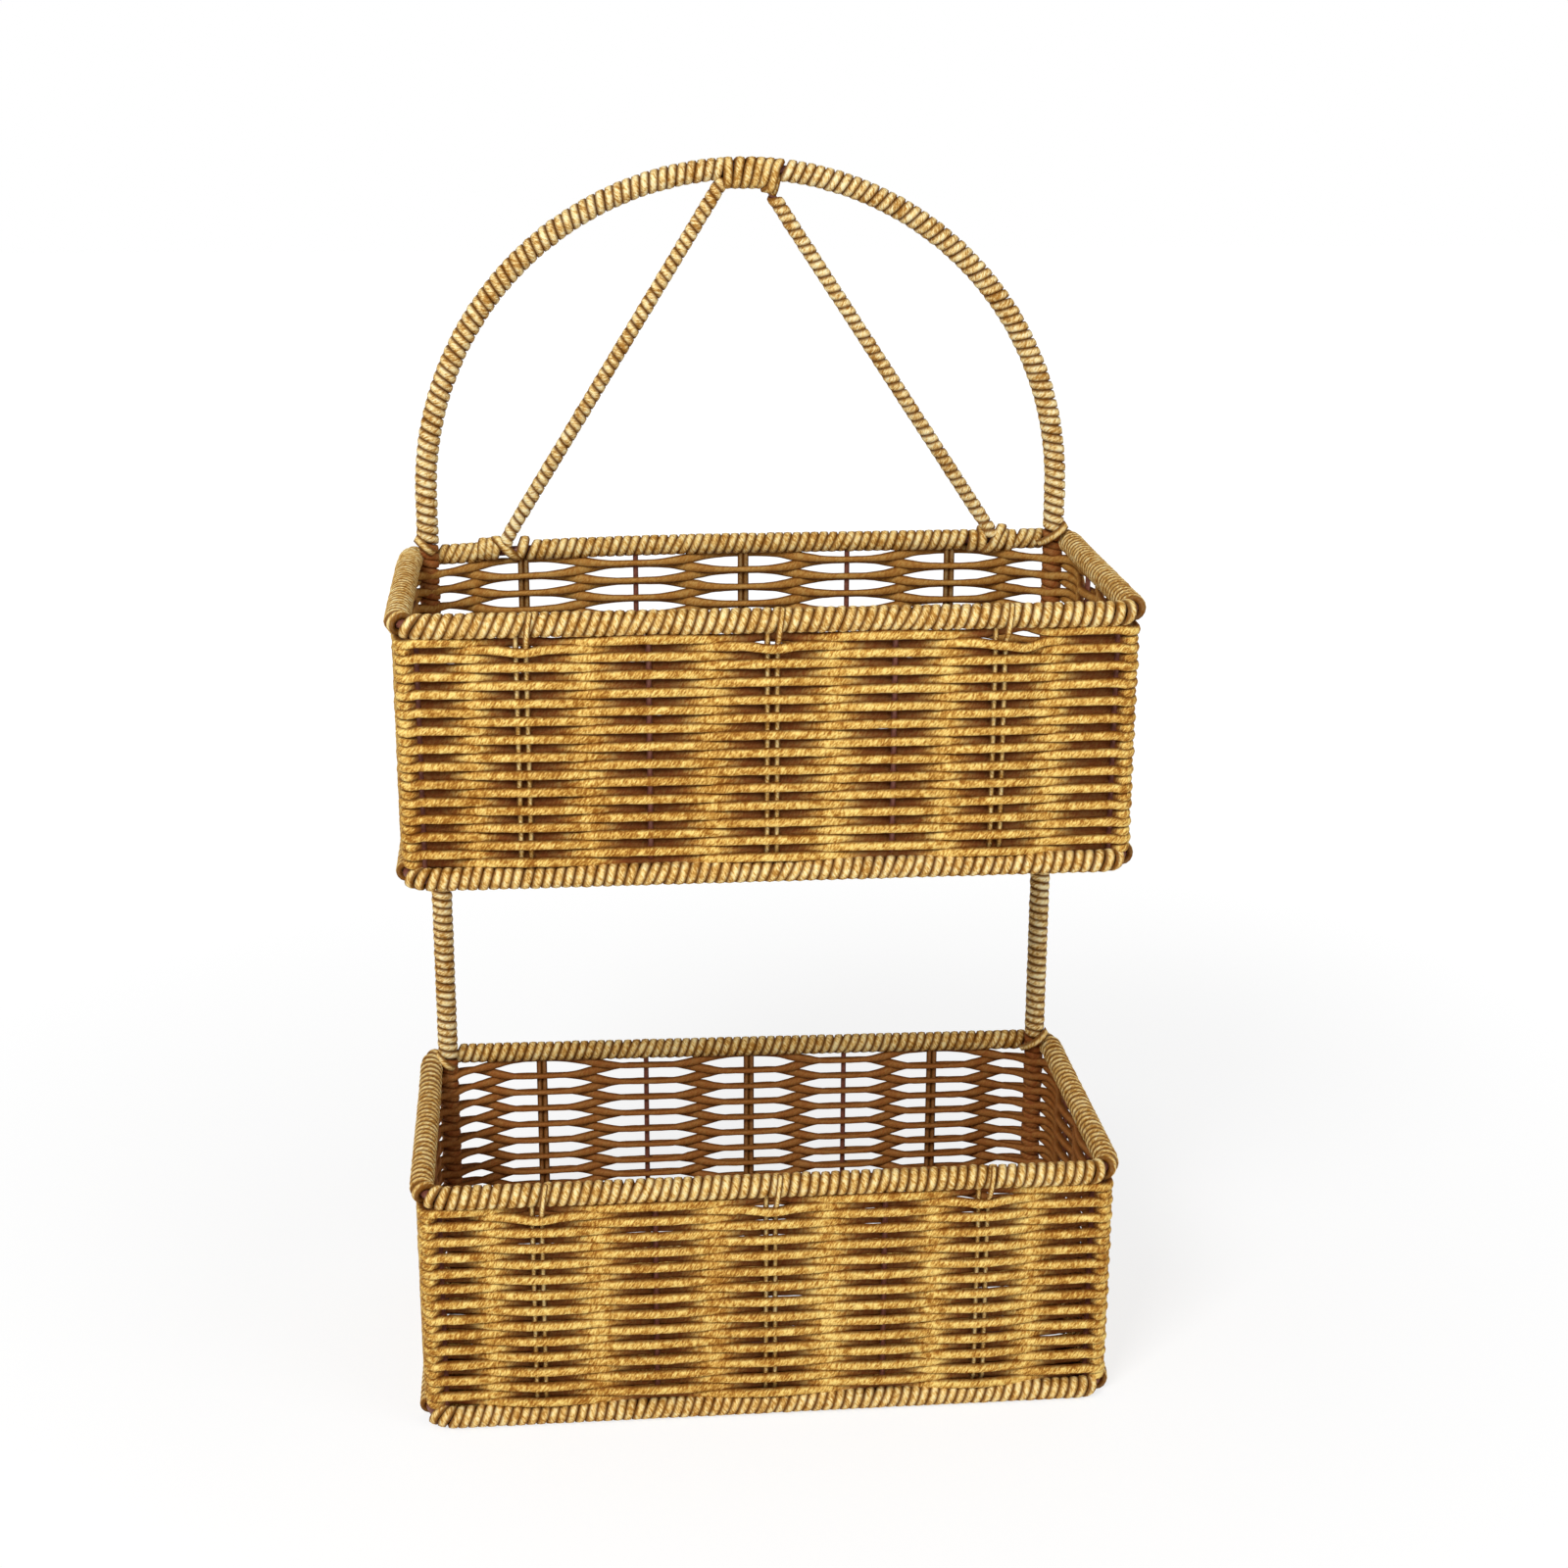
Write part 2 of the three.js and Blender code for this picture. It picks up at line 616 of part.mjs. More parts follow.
// The woven wall is plain here: a band with a channel for each stake that the cord weaves round, and
// a plain grid of openings where the back wall's rows lie apart.
function wovenWall() {
  const shape = weaveOutline(new THREE.Shape(), WEAVE_THICKNESS / 2);
  shape.holes.push(weaveOutline(new THREE.Path(), -WEAVE_THICKNESS / 2));
  const band = new THREE.ExtrudeGeometry(shape, {
    depth: wallTop - wallBottom,
    bevelEnabled: false,
    curveSegments: STEPS_PER_QUARTER,
  });
  band.translate(0, 0, wallBottom);
  const posts = postChannels(wallBottom - CLEARANCE, wallTop + CLEARANCE);
  return cutAll(band, [...stakeChannels(), ...posts, ...weaveGaps()]);
}

// The woven floor fills the base ring, with the ribs and side wires lying in it, crossing one on the other.
function wovenFloor() {
  const inset = BASE_COVER / 2 + CLEARANCE;
  const shape = weaveOutline(new THREE.Shape(), -inset);
  const slab = new THREE.ExtrudeGeometry(shape, {
    depth: FLOOR_THICKNESS,
    bevelEnabled: false,
    curveSegments: STEPS_PER_QUARTER,
  });
  slab.translate(0, 0, -BASKET_HEIGHT - FLOOR_THICKNESS / 2);
  return cutAll(slab, [...stakeChannels(), ...postChannels(-BASKET_HEIGHT - FLOOR_THICKNESS, wallBottom)]);
}

// A basket, with its rim wire's centre line at the group's level.
// backGaps are the stretches of the back rim that the brace's feet and their lashings take.
function basket(prefix, backGaps) {
  const group = new THREE.Group();
  const add = (name, geometry, material) => group.add(piece(`${prefix}_${name}`, geometry, material));
  const base = -BASKET_HEIGHT;
  const straightEnd = halfWidth - RIM_CORNER_RADIUS;

  add("rim_wire", ringWire(0), wireColour);
  add("rim_cover_front", frontCover(0, RIM_COVER), cordColour);
  add("rim_cover_left", sideCover(0, RIM_COVER, -1), cordColour);
  add("rim_cover_right", sideCover(0, RIM_COVER, 1), cordColour);
  const stops = [-straightEnd, ...backGaps.flat(), straightEnd];
  const backNames = backGaps.length ? ["back_left", "back_middle", "back_right"] : ["back"];
  backNames.forEach((name, i) => {
    add(`rim_cover_${name}`, backCover(0, RIM_COVER, stops[2 * i], stops[2 * i + 1]), cordColour);
  });

  add("base_wire", ringWire(base), wireColour);
  add("base_cover_front", frontCover(base, BASE_COVER), cordColour);
  add("base_cover_left", sideCover(base, BASE_COVER, -1), cordColour);
  add("base_cover_right", sideCover(base, BASE_COVER, 1), cordColour);
  add("base_cover_back", backCover(base, BASE_COVER, -straightEnd, straightEnd), cordColour);

  add("corner_post_left", upright(-frontPostX, frontPostY, FRONT_POST, wallBottom, wallTop), wireColour);
  add("corner_post_right", upright(frontPostX, frontPostY, FRONT_POST, wallBottom, wallTop), wireColour);
  for (const rib of ribs) add(rib.name, ribGeometry(rib), rib.isPair ? cordColour : wireColour);
  for (const wire of sideWires) {
    add(wire.name, sweep(wireSection(SINGLE_WIRE), sideWirePath(wire, wallTop)), wireColour);
  }
  add("woven_wall", wovenWall(), weaveColour);
  add("woven_floor", wovenFloor(), weaveColour);
  return group;
}

// The upper rim wire's centre line is the level that the hoop, the brace and the lashings are measured from.
const shelf = new THREE.Group();
const frame = new THREE.Group();
frame.position.z = frameHeight;
shelf.add(frame);

const hoopGeometry = sweep(wireSection(FRAME_WIRE), hoopRoute(legY));
frame.add(piece("hoop_rod", hoopGeometry, wireColour));

// The arch's windings start past the lashing, and where the brace's arm has dropped clear of them.
function pastCrown(arm, armTop, lashingEnd) {
  const arch = ARCH_COVER / 2 / Math.cos(Math.PI / SIDES);
  const armClear = (arch + BRACE_WIRE / 2 / Math.cos(arm.turn) - crownDrop + sagAtBrace) / Math.tan(arm.turn);
  return Math.max(lashingEnd + CORD_WIDTH / 2, armTop + armClear) + CLEARANCE;
}

const leftOfCrown = pastCrown(leftArm, -BRACE_TOP_LEFT, -BRACE_TOP_LEFT);
const rightOfCrown = pastCrown(rightArm, BRACE_TOP_RIGHT, crownRight + crownLean);
frame.add(piece("arch_cover_left", archCover(-1, leftOfCrown), cordColour));
frame.add(piece("arch_cover_right", archCover(1, rightOfCrown), cordColour));
frame.add(piece("leg_cover_left", legCover(-1), cordColour));
frame.add(piece("leg_cover_right", legCover(1), cordColour));
frame.add(crownLashing());

const brace = new THREE.Group();
brace.position.y = halfDepth;
brace.rotation.x = braceLean;
brace.add(piece("brace_rod", braceRod(), wireColour));
brace.add(piece("brace_cover_left", braceCover(leftArm, leftFoot, crownLean), cordColour));
const lastLoopBeyond = CROWN_PAST_BRACE - crownLean;
brace.add(piece("brace_cover_right", braceCover(rightArm, rightFoot, lastLoopBeyond), cordColour));
frame.add(brace);

frame.add(footLashing("foot_lashing_left", leftArm, leftFoot));
frame.add(footLashing("foot_lashing_right", rightArm, rightFoot));

const footGaps = [
  [leftArm, leftFoot],
  [rightArm, rightFoot],
].map(([arm, footX]) => {
  const { middleX, half } = footRange(arm, footX);
  const endDrift = (CORD_WIDTH * TURN_PITCH) / (2 * Math.PI * cordReach);
  const reach = half + CORD_WIDTH / 2 + endDrift + CLEARANCE;
  return [middleX - reach, middleX + reach];
});

const upper = basket("upper", footGaps);
frame.add(upper);

const lower = basket("lower", []);
lower.position.z = -BASKET_SPACING;
frame.add(lower);

export default shelf;
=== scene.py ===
import itertools
import math

import bpy
from mathutils import Matrix, Vector


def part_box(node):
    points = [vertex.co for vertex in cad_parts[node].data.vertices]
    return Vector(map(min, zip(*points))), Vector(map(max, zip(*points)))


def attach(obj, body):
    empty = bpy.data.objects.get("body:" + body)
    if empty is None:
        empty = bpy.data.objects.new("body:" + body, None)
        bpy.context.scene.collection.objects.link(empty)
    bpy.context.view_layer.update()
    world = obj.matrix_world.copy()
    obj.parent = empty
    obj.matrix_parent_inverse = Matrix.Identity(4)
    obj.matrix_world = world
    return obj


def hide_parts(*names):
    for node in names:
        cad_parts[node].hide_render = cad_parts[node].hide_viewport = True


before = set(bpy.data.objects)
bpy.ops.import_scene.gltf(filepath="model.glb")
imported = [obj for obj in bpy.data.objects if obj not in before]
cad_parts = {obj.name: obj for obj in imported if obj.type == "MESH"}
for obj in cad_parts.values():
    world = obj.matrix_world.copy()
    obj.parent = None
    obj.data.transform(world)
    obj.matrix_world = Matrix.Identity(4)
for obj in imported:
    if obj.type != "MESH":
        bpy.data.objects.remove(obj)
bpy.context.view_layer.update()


# Steel wires: the hoop, the brace and each basket's rim and base ring. They are bent from round wire and
# lacquered reddish brown, and show bare only where the windings leave the rings' front corners open. The
# hoop's legs stand inside the rings' back corners, and the brace stands on the upper back rim.
mm = 0.001
HALF_WIDTH, HALF_DEPTH = 174 * mm, 84 * mm
RIM_BEND = 14 * mm
UPPER_RIM = 420.2 * mm
BASKET_SPACING = 291 * mm
BASKET_HEIGHT = 123.5 * mm
FRAME_WIRE, BRACE_WIRE = 5 * mm, 3 * mm
LEG_X, LEG_Y = 164.99 * mm, 77.13 * mm
ARCH_SPRING = UPPER_RIM + 29.5 * mm
ROUTE_STEP = 6 * mm
UP, FRONTWARD = Vector((0, 0, 1)), Vector((0, -1, 0))


class Link:
    """One output socket of a node. Arithmetic on it adds Math nodes to the same tree."""

    def __init__(self, tree, socket):
        self.tree = tree
        self.socket = socket

    def math(self, operation, first, second=0.0):
        return add_node(self.tree, "ShaderNodeMath", {"operation": operation}, {0: first, 1: second})

    def __add__(self, other):
        return self.math("ADD", self, other)

    def __sub__(self, other):
        return self.math("SUBTRACT", self, other)

    def __rsub__(self, other):
        return self.math("SUBTRACT", other, self)

    def __mul__(self, other):
        return self.math("MULTIPLY", self, other)

    def __truediv__(self, other):
        return self.math("DIVIDE", self, other)

    __radd__ = __add__
    __rmul__ = __mul__

    def call(self, operation, second=0.0):
        return self.math(operation, self, second)


def add_node(tree, kind, settings=None, values=None, output=0):
    """Adds a node, sets it up, fills its sockets with values or links, and gives the wanted output."""
    made = tree.nodes.new(kind)
    for name, setting in (settings or {}).items():
        if name == "stops":
            first, *between, last = setting
            ramp = made.color_ramp.elements
            ramp[0].position, ramp[0].color = first
            ramp[1].position, ramp[1].color = last
            for place, colour in between:
                ramp.new(place).color = colour
        else:
            setattr(made, name, setting)
    for key, value in (values or {}).items():
        socket = next(s for i, s in enumerate(made.inputs) if key == i or (s.enabled and key == s.name))
        if isinstance(value, Link):
            tree.links.new(value.socket, socket)
        else:
            socket.default_value = value
    wanted = [s for s in made.outputs if s.enabled and output in (0, s.name)]
    return Link(tree, wanted[0]) if wanted else None


def vector_math(tree, operation, first, second=(0, 0, 0), scale=1.0):
    keys = {0: first, "Scale": scale} if operation == "SCALE" else {0: first, 1: second}
    return add_node(tree, "ShaderNodeVectorMath", {"operation": operation}, keys)


def axis(tree, vector, name):
    return add_node(tree, "ShaderNodeSeparateXYZ", {}, {0: vector}, output=name)


def combined(tree, x, y, z):
    return add_node(tree, "ShaderNodeCombineXYZ", {}, {"X": x, "Y": y, "Z": z})


def object_place(tree):
    return add_node(tree, "ShaderNodeTexCoord", output="Object")


def as_curve(tree, edges):
    return add_node(tree, "GeometryNodeMeshToCurve", {}, {"Mesh": edges})


def tinted(tree, base, share, colour):
    """The base colour with a share of another one mixed in."""
    values = {"Factor": share, 6: base, 7: colour}
    return add_node(tree, "ShaderNodeMix", {"data_type": "RGBA"}, values, output="Result")


def noise(tree, place, scale, detail, roughness=0.5, line=False):
    """Noise over a place in space, or along a line."""
    settings = {"noise_dimensions": "1D"} if line else {}
    values = {"W" if line else "Vector": place, "Scale": scale, "Detail": detail, "Roughness": roughness}
    return add_node(tree, "ShaderNodeTexNoise", settings, values)


def store(tree, geometry, label, value, kind="FLOAT"):
    """Keeps a value on every point of a geometry, under a name."""
    settings = {"data_type": kind, "domain": "POINT"}
    values = {"Geometry": geometry, "Name": label, "Value": value}
    return add_node(tree, "GeometryNodeStoreNamedAttribute", settings, values)


def stored(tree, label, kind="FLOAT"):
    return add_node(tree, "GeometryNodeInputNamedAttribute", {"data_type": kind}, {"Name": label})


def new_tree(name, **inputs):
    """An empty geometry tree with inputs that are named under their kind, and one geometry output."""
    tree = bpy.data.node_groups.new(name, "GeometryNodeTree")
    tree.interface.new_socket("Geometry", in_out="OUTPUT", socket_type="NodeSocketGeometry")
    for kind, labels in inputs.items():
        for label in labels:
            tree.interface.new_socket(label, in_out="INPUT", socket_type=f"NodeSocket{kind}")
    entry = tree.nodes.new("NodeGroupInput")
    return tree, {label: Link(tree, entry.outputs[label]) for labels in inputs.values() for label in labels}


def finish_tree(tree, geometry, finish):
    coloured = add_node(tree, "GeometryNodeSetMaterial", {}, {"Geometry": geometry, "Material": finish})
    add_node(tree, "NodeGroupOutput", {}, {0: coloured})


def add_object(name, data):
    made = bpy.data.objects.new(name, data)
    bpy.context.scene.collection.objects.link(made)
    return made


def drawn_line(name, routes, closed=False, **marks):
    """A mesh of edges along each route, for a tree to grow on, with named values on its points."""
    mesh = bpy.data.meshes.new(name)
    points, edges = [], []
    for route in routes:
        first, count = len(points), len(route)
        edges += [(first + i, first + (i + 1) % count) for i in range(count if closed else count - 1)]
        points += route
    mesh.from_pydata(points, edges, [])
    for label, values in marks.items():
        is_vector = isinstance(values[0], Vector)
        mark = mesh.attributes.new(label, "FLOAT_VECTOR" if is_vector else "FLOAT", "POINT")
        flat = [c for v in values for c in v] if is_vector else values
        mark.data.foreach_set("vector" if is_vector else "value", flat)
    return add_object(name, mesh)


def grow(line, tree, values):
    """Runs a geometry tree on a drawn line and leaves the plain mesh that it makes."""
    modifier = line.modifiers.new("grow", "NODES")
    modifier.node_group = tree
    for item in tree.interface.items_tree:
        if item.in_out == "INPUT" and item.name in values:
            modifier[item.identifier] = values[item.name]
    depsgraph = bpy.context.evaluated_depsgraph_get()
    mesh = bpy.data.meshes.new_from_object(line.evaluated_get(depsgraph), depsgraph=depsgraph)
    line.modifiers.clear()
    mesh.name = line.name
    line.data = mesh
    return line


def material(name):
    made = bpy.data.materials.new(name)
    made.use_nodes = True
    made.node_tree.nodes.clear()
    return made, made.node_tree


def surface(tree, values):
    shader = add_node(tree, "ShaderNodeBsdfPrincipled", {}, values)
    add_node(tree, "ShaderNodeOutputMaterial", {}, {"Surface": shader})


DARK_LACQUER, RUBBED_LACQUER = (0.11, 0.03, 0.018, 1), (0.34, 0.12, 0.075, 1)
lacquered_wire, tree = material("brown lacquered wire")
wear = noise(tree, object_place(tree), 700, 4)
wire_tone = tinted(tree, DARK_LACQUER, wear, RUBBED_LACQUER)
wire_bump = add_node(tree, "ShaderNodeBump", {}, {"Height": wear, "Strength": 0.25, "Distance": 0.0004})
satin = {"Roughness": 0.26 + wear * 0.25, "Metallic": 0.2}
surface(tree, {"Base Color": wire_tone, **satin, "Normal": wire_bump})

# One strand swept along a curve. Across the strand, thickness is measured along outward and width
# square to it. Squareness flattens the section's sides, as on a cord that is pulled tight round a wire.
# The strand keeps where it is along and around itself for its material.
STRAND_SIDES = 8
strand_tree, entry = new_tree(
    "strand",
    Geometry=["Curve"],
    Vector=["Outward"],
    Float=["Width", "Thickness", "Squareness", "Fullness", "Unevenness"],
    Material=["Material"],
)
tree = strand_tree
along = add_node(tree, "GeometryNodeSplineParameter", output="Length")
laid = {"Curve": store(tree, entry["Curve"], "along", along), "Normal": entry["Outward"]}
turned = add_node(tree, "GeometryNodeSetCurveNormal", {"mode": "FREE"}, laid)
circle = add_node(tree, "GeometryNodeCurvePrimitiveCircle", {}, {"Resolution": STRAND_SIDES, "Radius": 0.5})
rim_spot = vector_math(tree, "NORMALIZE", add_node(tree, "GeometryNodeInputPosition"))
marked = store(tree, circle, "around", rim_spot, "FLOAT_VECTOR")
section_size = combined(tree, entry["Thickness"], entry["Width"], 1.0)
diagonal = axis(tree, rim_spot, "X") * axis(tree, rim_spot, "Y")
squarer = diagonal * diagonal * entry["Squareness"] * 4 + 1
corners_out = vector_math(tree, "SCALE", rim_spot, scale=squarer * 0.5)
squared = add_node(tree, "GeometryNodeSetPosition", {}, {"Geometry": marked, "Position": corners_out})
section = add_node(tree, "GeometryNodeTransform", {}, {"Geometry": squared, "Scale": section_size})
thick_and_thin = noise(tree, along * 120, 1.0, 2, line=True)
fullness = entry["Fullness"] * (1 + (thick_and_thin - 0.5) * entry["Unevenness"])
tube = {"Curve": turned, "Profile Curve": section, "Scale": fullness, "Fill Caps": True}
tube = add_node(tree, "GeometryNodeCurveToMesh", {}, tube)
finish_tree(tree, add_node(tree, "GeometryNodeSetShadeSmooth", {}, {"Geometry": tube}), entry["Material"])


def add_strand(tree, entry, values):
    """Ends a tree with the strand tree as a group node, made real and given its material."""
    values["Material"] = entry["Material"]
    group = add_node(tree, "GeometryNodeGroup", {"node_tree": strand_tree}, values)
    real = add_node(tree, "GeometryNodeRealizeInstances", {}, {"Geometry": group})
    finish_tree(tree, real, entry["Material"])


# A path tree: the drawn line itself is the strand, with its outward direction stored on its points.
path_tree, entry = new_tree(
    "path strand",
    Geometry=["Line"],
    Float=["Width", "Thickness", "Squareness", "Unevenness", "Step"],
    Material=["Material"],
)
tree = path_tree
drawn = {"Curve": as_curve(tree, entry["Line"])}
rounded = add_node(tree, "GeometryNodeCurveSplineType", {"spline_type": "CATMULL_ROM"}, drawn)
by_length = {"Curve": rounded, "Length": entry["Step"]}
path = {
    "Curve": add_node(tree, "GeometryNodeResampleCurve", {"mode": "LENGTH"}, by_length),
    "Outward": stored(tree, "outward", "FLOAT_VECTOR"),
    "Fullness": 1.0,
}
path.update({label: entry[label] for label in ("Width", "Thickness", "Squareness", "Unevenness")})
add_strand(tree, entry, path)


def arc(centre, radius, start, end, steps, across=UP):
    """Points round a centre, in a plane square to across, between two angles in degrees."""
    first = Vector((1, 0, 0))
    second = across.cross(first)
    angles = [math.radians(start + (end - start) * i / steps) for i in range(steps + 1)]
    return [centre + radius * (math.cos(a) * first + math.sin(a) * second) for a in angles]


def ring(level, half_width, half_depth, front_bend, back_bend, steps=8):
    """A rounded rectangle, from the back left corner down the left side and anticlockwise from above."""
    points = []
    for sx, sy, start in ((-1, -1, 180), (1, -1, 270), (1, 1, 0), (-1, 1, 90)):
        bend = front_bend if sy < 0 else back_bend
        centre = Vector((sx * (half_width - bend), sy * (half_depth - bend), level))
        points += arc(centre, bend, start, start + 90, steps)
    return points


def bent(corners, radius, steps=5):
    """A route along straight runs, with each inner corner rounded to the radius."""
    route = [corners[0]]
    for before, corner, after in zip(corners, corners[1:], corners[2:]):
        back, on = (before - corner).normalized(), (after - corner).normalized()
        half = back.angle(on) / 2
        centre = corner + (back + on).normalized() * (radius / math.sin(half))
        start = corner + back * (radius / math.tan(half)) - centre
        end = corner + on * (radius / math.tan(half)) - centre
        sweep = start.angle(end)
        for i in range(steps + 1):
            share = i / steps
            mixed = start * math.sin((1 - share) * sweep) + end * math.sin(share * sweep)
            route.append(centre + mixed / math.sin(sweep))
    return route + [corners[-1]]


def evenly(points, step):
    """The same route with points no further apart than step."""
    dense = [points[0]]
    for a, b in zip(points, points[1:]):
        count = max(1, math.ceil((b - a).length / step))
        dense += [a.lerp(b, i / count) for i in range(1, count + 1)]
    return dense


def settle(piece, slot, *nodes):
    """Makes a finished piece part of the shelf, in place of the plain solids that it stands for."""
    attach(piece, "root")
    if nodes:
        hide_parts(*nodes)


def swept(name, routes, outward, size, finish, closed=False, step=3 * mm, flat=0.0, uneven=0.0, **marks):
    """Strands along routes. Outward is one direction for them all, or one for each point. The size is a
    strand's width and thickness, or its diameter alone."""
    outward = outward if isinstance(outward, list) else [outward] * sum(len(route) for route in routes)
    line = drawn_line(name, routes, closed, outward=outward, **marks)
    sizes = {"Width": size[0], "Thickness": size[-1], "Squareness": flat, "Unevenness": uneven}
    return grow(line, path_tree, {**sizes, "Step": step, "Material": finish})


def wire_piece(name, points, diameter, across, closed, node):
    route = evenly(points + points[:1], ROUTE_STEP)[:-1] if closed else evenly(points, ROUTE_STEP)
    settle(swept(name, [route], across, [diameter], lacquered_wire, closed), "frame_wire", node)


SAG_START = 40 * mm
LOWER_RISE, LOWER_TILT = 2.7 * mm, 0.0105
UPPER_RISE, UPPER_SAG, SAG_SPAN = 0.8 * mm, 3.4 * mm, 155 * mm


def hung(basket, point):
    """How far a rim lies above its straight line: the upper one's back has sagged at its left end, and
    the lower one's back is pulled up there."""
    share = max(0.0, (point.y - SAG_START) / (HALF_DEPTH - SAG_START))
    if basket == "lower":
        return share * (LOWER_RISE - LOWER_TILT * point.x)
    return share * (UPPER_RISE - UPPER_SAG * (max(0.0, -point.x) / SAG_SPAN) ** 2)


def as_hung(basket, part, points):
    """The line of a rim as it hangs. Base rings lie straight."""
    if part.startswith("base"):
        return points
    return [p + UP * hung(basket, p) for p in evenly(points, ROUTE_STEP)]


levels = {"upper": UPPER_RIM, "lower": UPPER_RIM - BASKET_SPACING}
for basket, rim_level in levels.items():
    for part, level in (("rim_wire", rim_level), ("base_wire", rim_level - BASKET_HEIGHT)):
        points = ring(level, HALF_WIDTH, HALF_DEPTH, RIM_BEND, RIM_BEND)
        points = as_hung(basket, part, points + points[:1])[:-1]
        wire_piece(f"{basket}_{part}_round", points, FRAME_WIRE, UP, True, f"{basket}_{part}")

LEG_STEPS, ARCH_STEPS = 20, 48
arch = arc(Vector((0, LEG_Y, ARCH_SPRING)), LEG_X, 180, 0, ARCH_STEPS, FRONTWARD)
leg_end = UPPER_RIM - BASKET_SPACING - BASKET_HEIGHT - FRAME_WIRE / 2
leg_stops = [leg_end + (ARCH_SPRING - leg_end) * i / LEG_STEPS for i in range(LEG_STEPS)]
hoop = [Vector((-LEG_X, LEG_Y, z)) for z in leg_stops] + arch
hoop += [Vector((LEG_X, LEG_Y, z)) for z in reversed(leg_stops)]
wire_piece("hoop_rod_round", hoop, FRAME_WIRE, FRONTWARD, False, "hoop_rod")

BRACE_LEAN = 0.03616
BRACE_BEND = 8 * mm
BRACE_FEET, BRACE_TOP = (-125 * mm, 133 * mm), (-10 * mm, 8.5 * mm)
FOOT_RISE, TOP_RISE = 4.3 * mm, 190.01 * mm
ACROSS_BRACE = Vector((0, -math.cos(BRACE_LEAN), -math.sin(BRACE_LEAN)))


def on_brace(x, rise):
    """A point of the brace's own plane, which leans from the back rim towards the arch."""
    return Vector((x, HALF_DEPTH - rise * math.sin(BRACE_LEAN), UPPER_RIM + rise * math.cos(BRACE_LEAN)))


brace_corners = [on_brace(BRACE_FEET[0], FOOT_RISE), on_brace(BRACE_TOP[0], TOP_RISE)]
brace_corners += [on_brace(BRACE_TOP[1], TOP_RISE), on_brace(BRACE_FEET[1], FOOT_RISE)]
wire_piece("brace_rod_round", bent(brace_corners, BRACE_BEND), BRACE_WIRE, ACROSS_BRACE, False, "brace_rod")


# Paper cord: kraft paper dyed honey gold and twisted hard into a cord, so its surface shows slanting
# creases and flecks. Every wire but the front corners is wound with it, all in the same left-handed
# sense, each turn pulled tight against the last one.
CORD_LAY = 13 * mm
GRAIN_PER_METRE = 330
BETWEEN_BASKETS = 250 * mm


def paper_cord(name, colours, edge):
    """Colours are the paper's pale, middle and dark tones, then three colours of painted shade: for the
    crevices between turns and rows, for the strands that lie behind others, and for the side that faces
    into the basket. Edge is where across the cord, from its middle to its side, the painted crevice shade
    starts and is full."""
    pale, mid, dark, painted_crevice_shade, behind, painted_inside_shade = [(*colour, 1) for colour in colours]
    made, tree = material(name)

    def mark(label, output):
        return add_node(tree, "ShaderNodeAttribute", {"attribute_name": label}, output=output)

    def rising(value, low, high, most):
        values = {"Value": value, "From Min": low, "From Max": high, "To Max": most}
        return add_node(tree, "ShaderNodeMapRange", {"interpolation_type": "SMOOTHSTEP"}, values)

    around, along, swing = mark("around", "Vector"), mark("along", "Fac"), mark("swing", "Fac")
    place = object_place(tree)
    twist = {"Vector": around, "Angle": along * (2 * math.pi / CORD_LAY)}
    turned = add_node(tree, "ShaderNodeVectorRotate", {"rotation_type": "Z_AXIS"}, twist)
    grain = vector_math(tree, "ADD", turned, combined(tree, 0.0, 0.0, along * GRAIN_PER_METRE))
    creases = noise(tree, grain, 2.0, 4, 0.65)
    flecks = noise(tree, vector_math(tree, "MULTIPLY", grain, (0.55, 0.55, 1.0)), 1.7, 2, 0.7)
    patches, drift = noise(tree, place, 170, 3), noise(tree, place, 14, 2)
    tone = (creases - 0.5) * 3.0 + (patches - 0.5) * 1.3 + (drift - 0.5) * 0.6 + 0.5
    tones = {"stops": ((0.12, dark), (0.5, mid), (0.88, pale))}
    base = add_node(tree, "ShaderNodeValToRGB", tones, {0: tone}, output="Color")
    base = tinted(tree, base, rising(flecks, 0.6, 0.7, 0.75), dark)
    facing, sideways = axis(tree, around, "X"), axis(tree, around, "Y")
    # Painted shade: where a strand swings in behind others, its outward side is darkened to the behind
    # colour.
    base = tinted(tree, base, rising(0 - swing, 0.1, 0.9, 0.85) * rising(facing, -0.3, 0.2, 1.0), behind)
    # Painted shade: the side of the cord that faces into the basket is darkened.
    base = tinted(tree, base, rising(0 - facing, -0.1, 0.5, 0.75), painted_inside_shade)
    # Painted shade: below BETWEEN_BASKETS, in the lower basket, the inward side is darkened further to the
    # behind colour.
    painted_lower_shade = rising(BETWEEN_BASKETS - axis(tree, place, "Z"), 0.0, 0.05, 0.55)
    base = tinted(tree, base, rising(0 - facing, -0.1, 0.5, 1.0) * painted_lower_shade, behind)
    # Painted shade: the cord is darkened towards its sides, where turns and rows meet in crevices.
    base = tinted(tree, base, rising(sideways.call("ABSOLUTE"), *edge, 0.9), painted_crevice_shade)
    relief = {"Height": creases * 0.7 + flecks * 0.3, "Strength": 0.6, "Distance": 0.0009}
    bump = add_node(tree, "ShaderNodeBump", {}, relief)
    gloss = {"Roughness": 0.5 + creases * 0.3, "Specular IOR Level": 0.12}
    surface(tree, {"Base Color": base, **gloss, "Normal": bump})
    return made


# The last three tones are painted shade: for crevices, for strands behind others, and for the side facing
# into the basket.
WOUND_TONES = (
    (0.97, 0.8, 0.4),
    (0.85, 0.56, 0.18),
    (0.45, 0.21, 0.035),
    (0.17, 0.052, 0.001),
    (0.3, 0.1, 0.03),
    (0.13, 0.045, 0.012),
)
wound_cord = paper_cord("wound paper cord", WOUND_TONES, (0.17, 0.8))


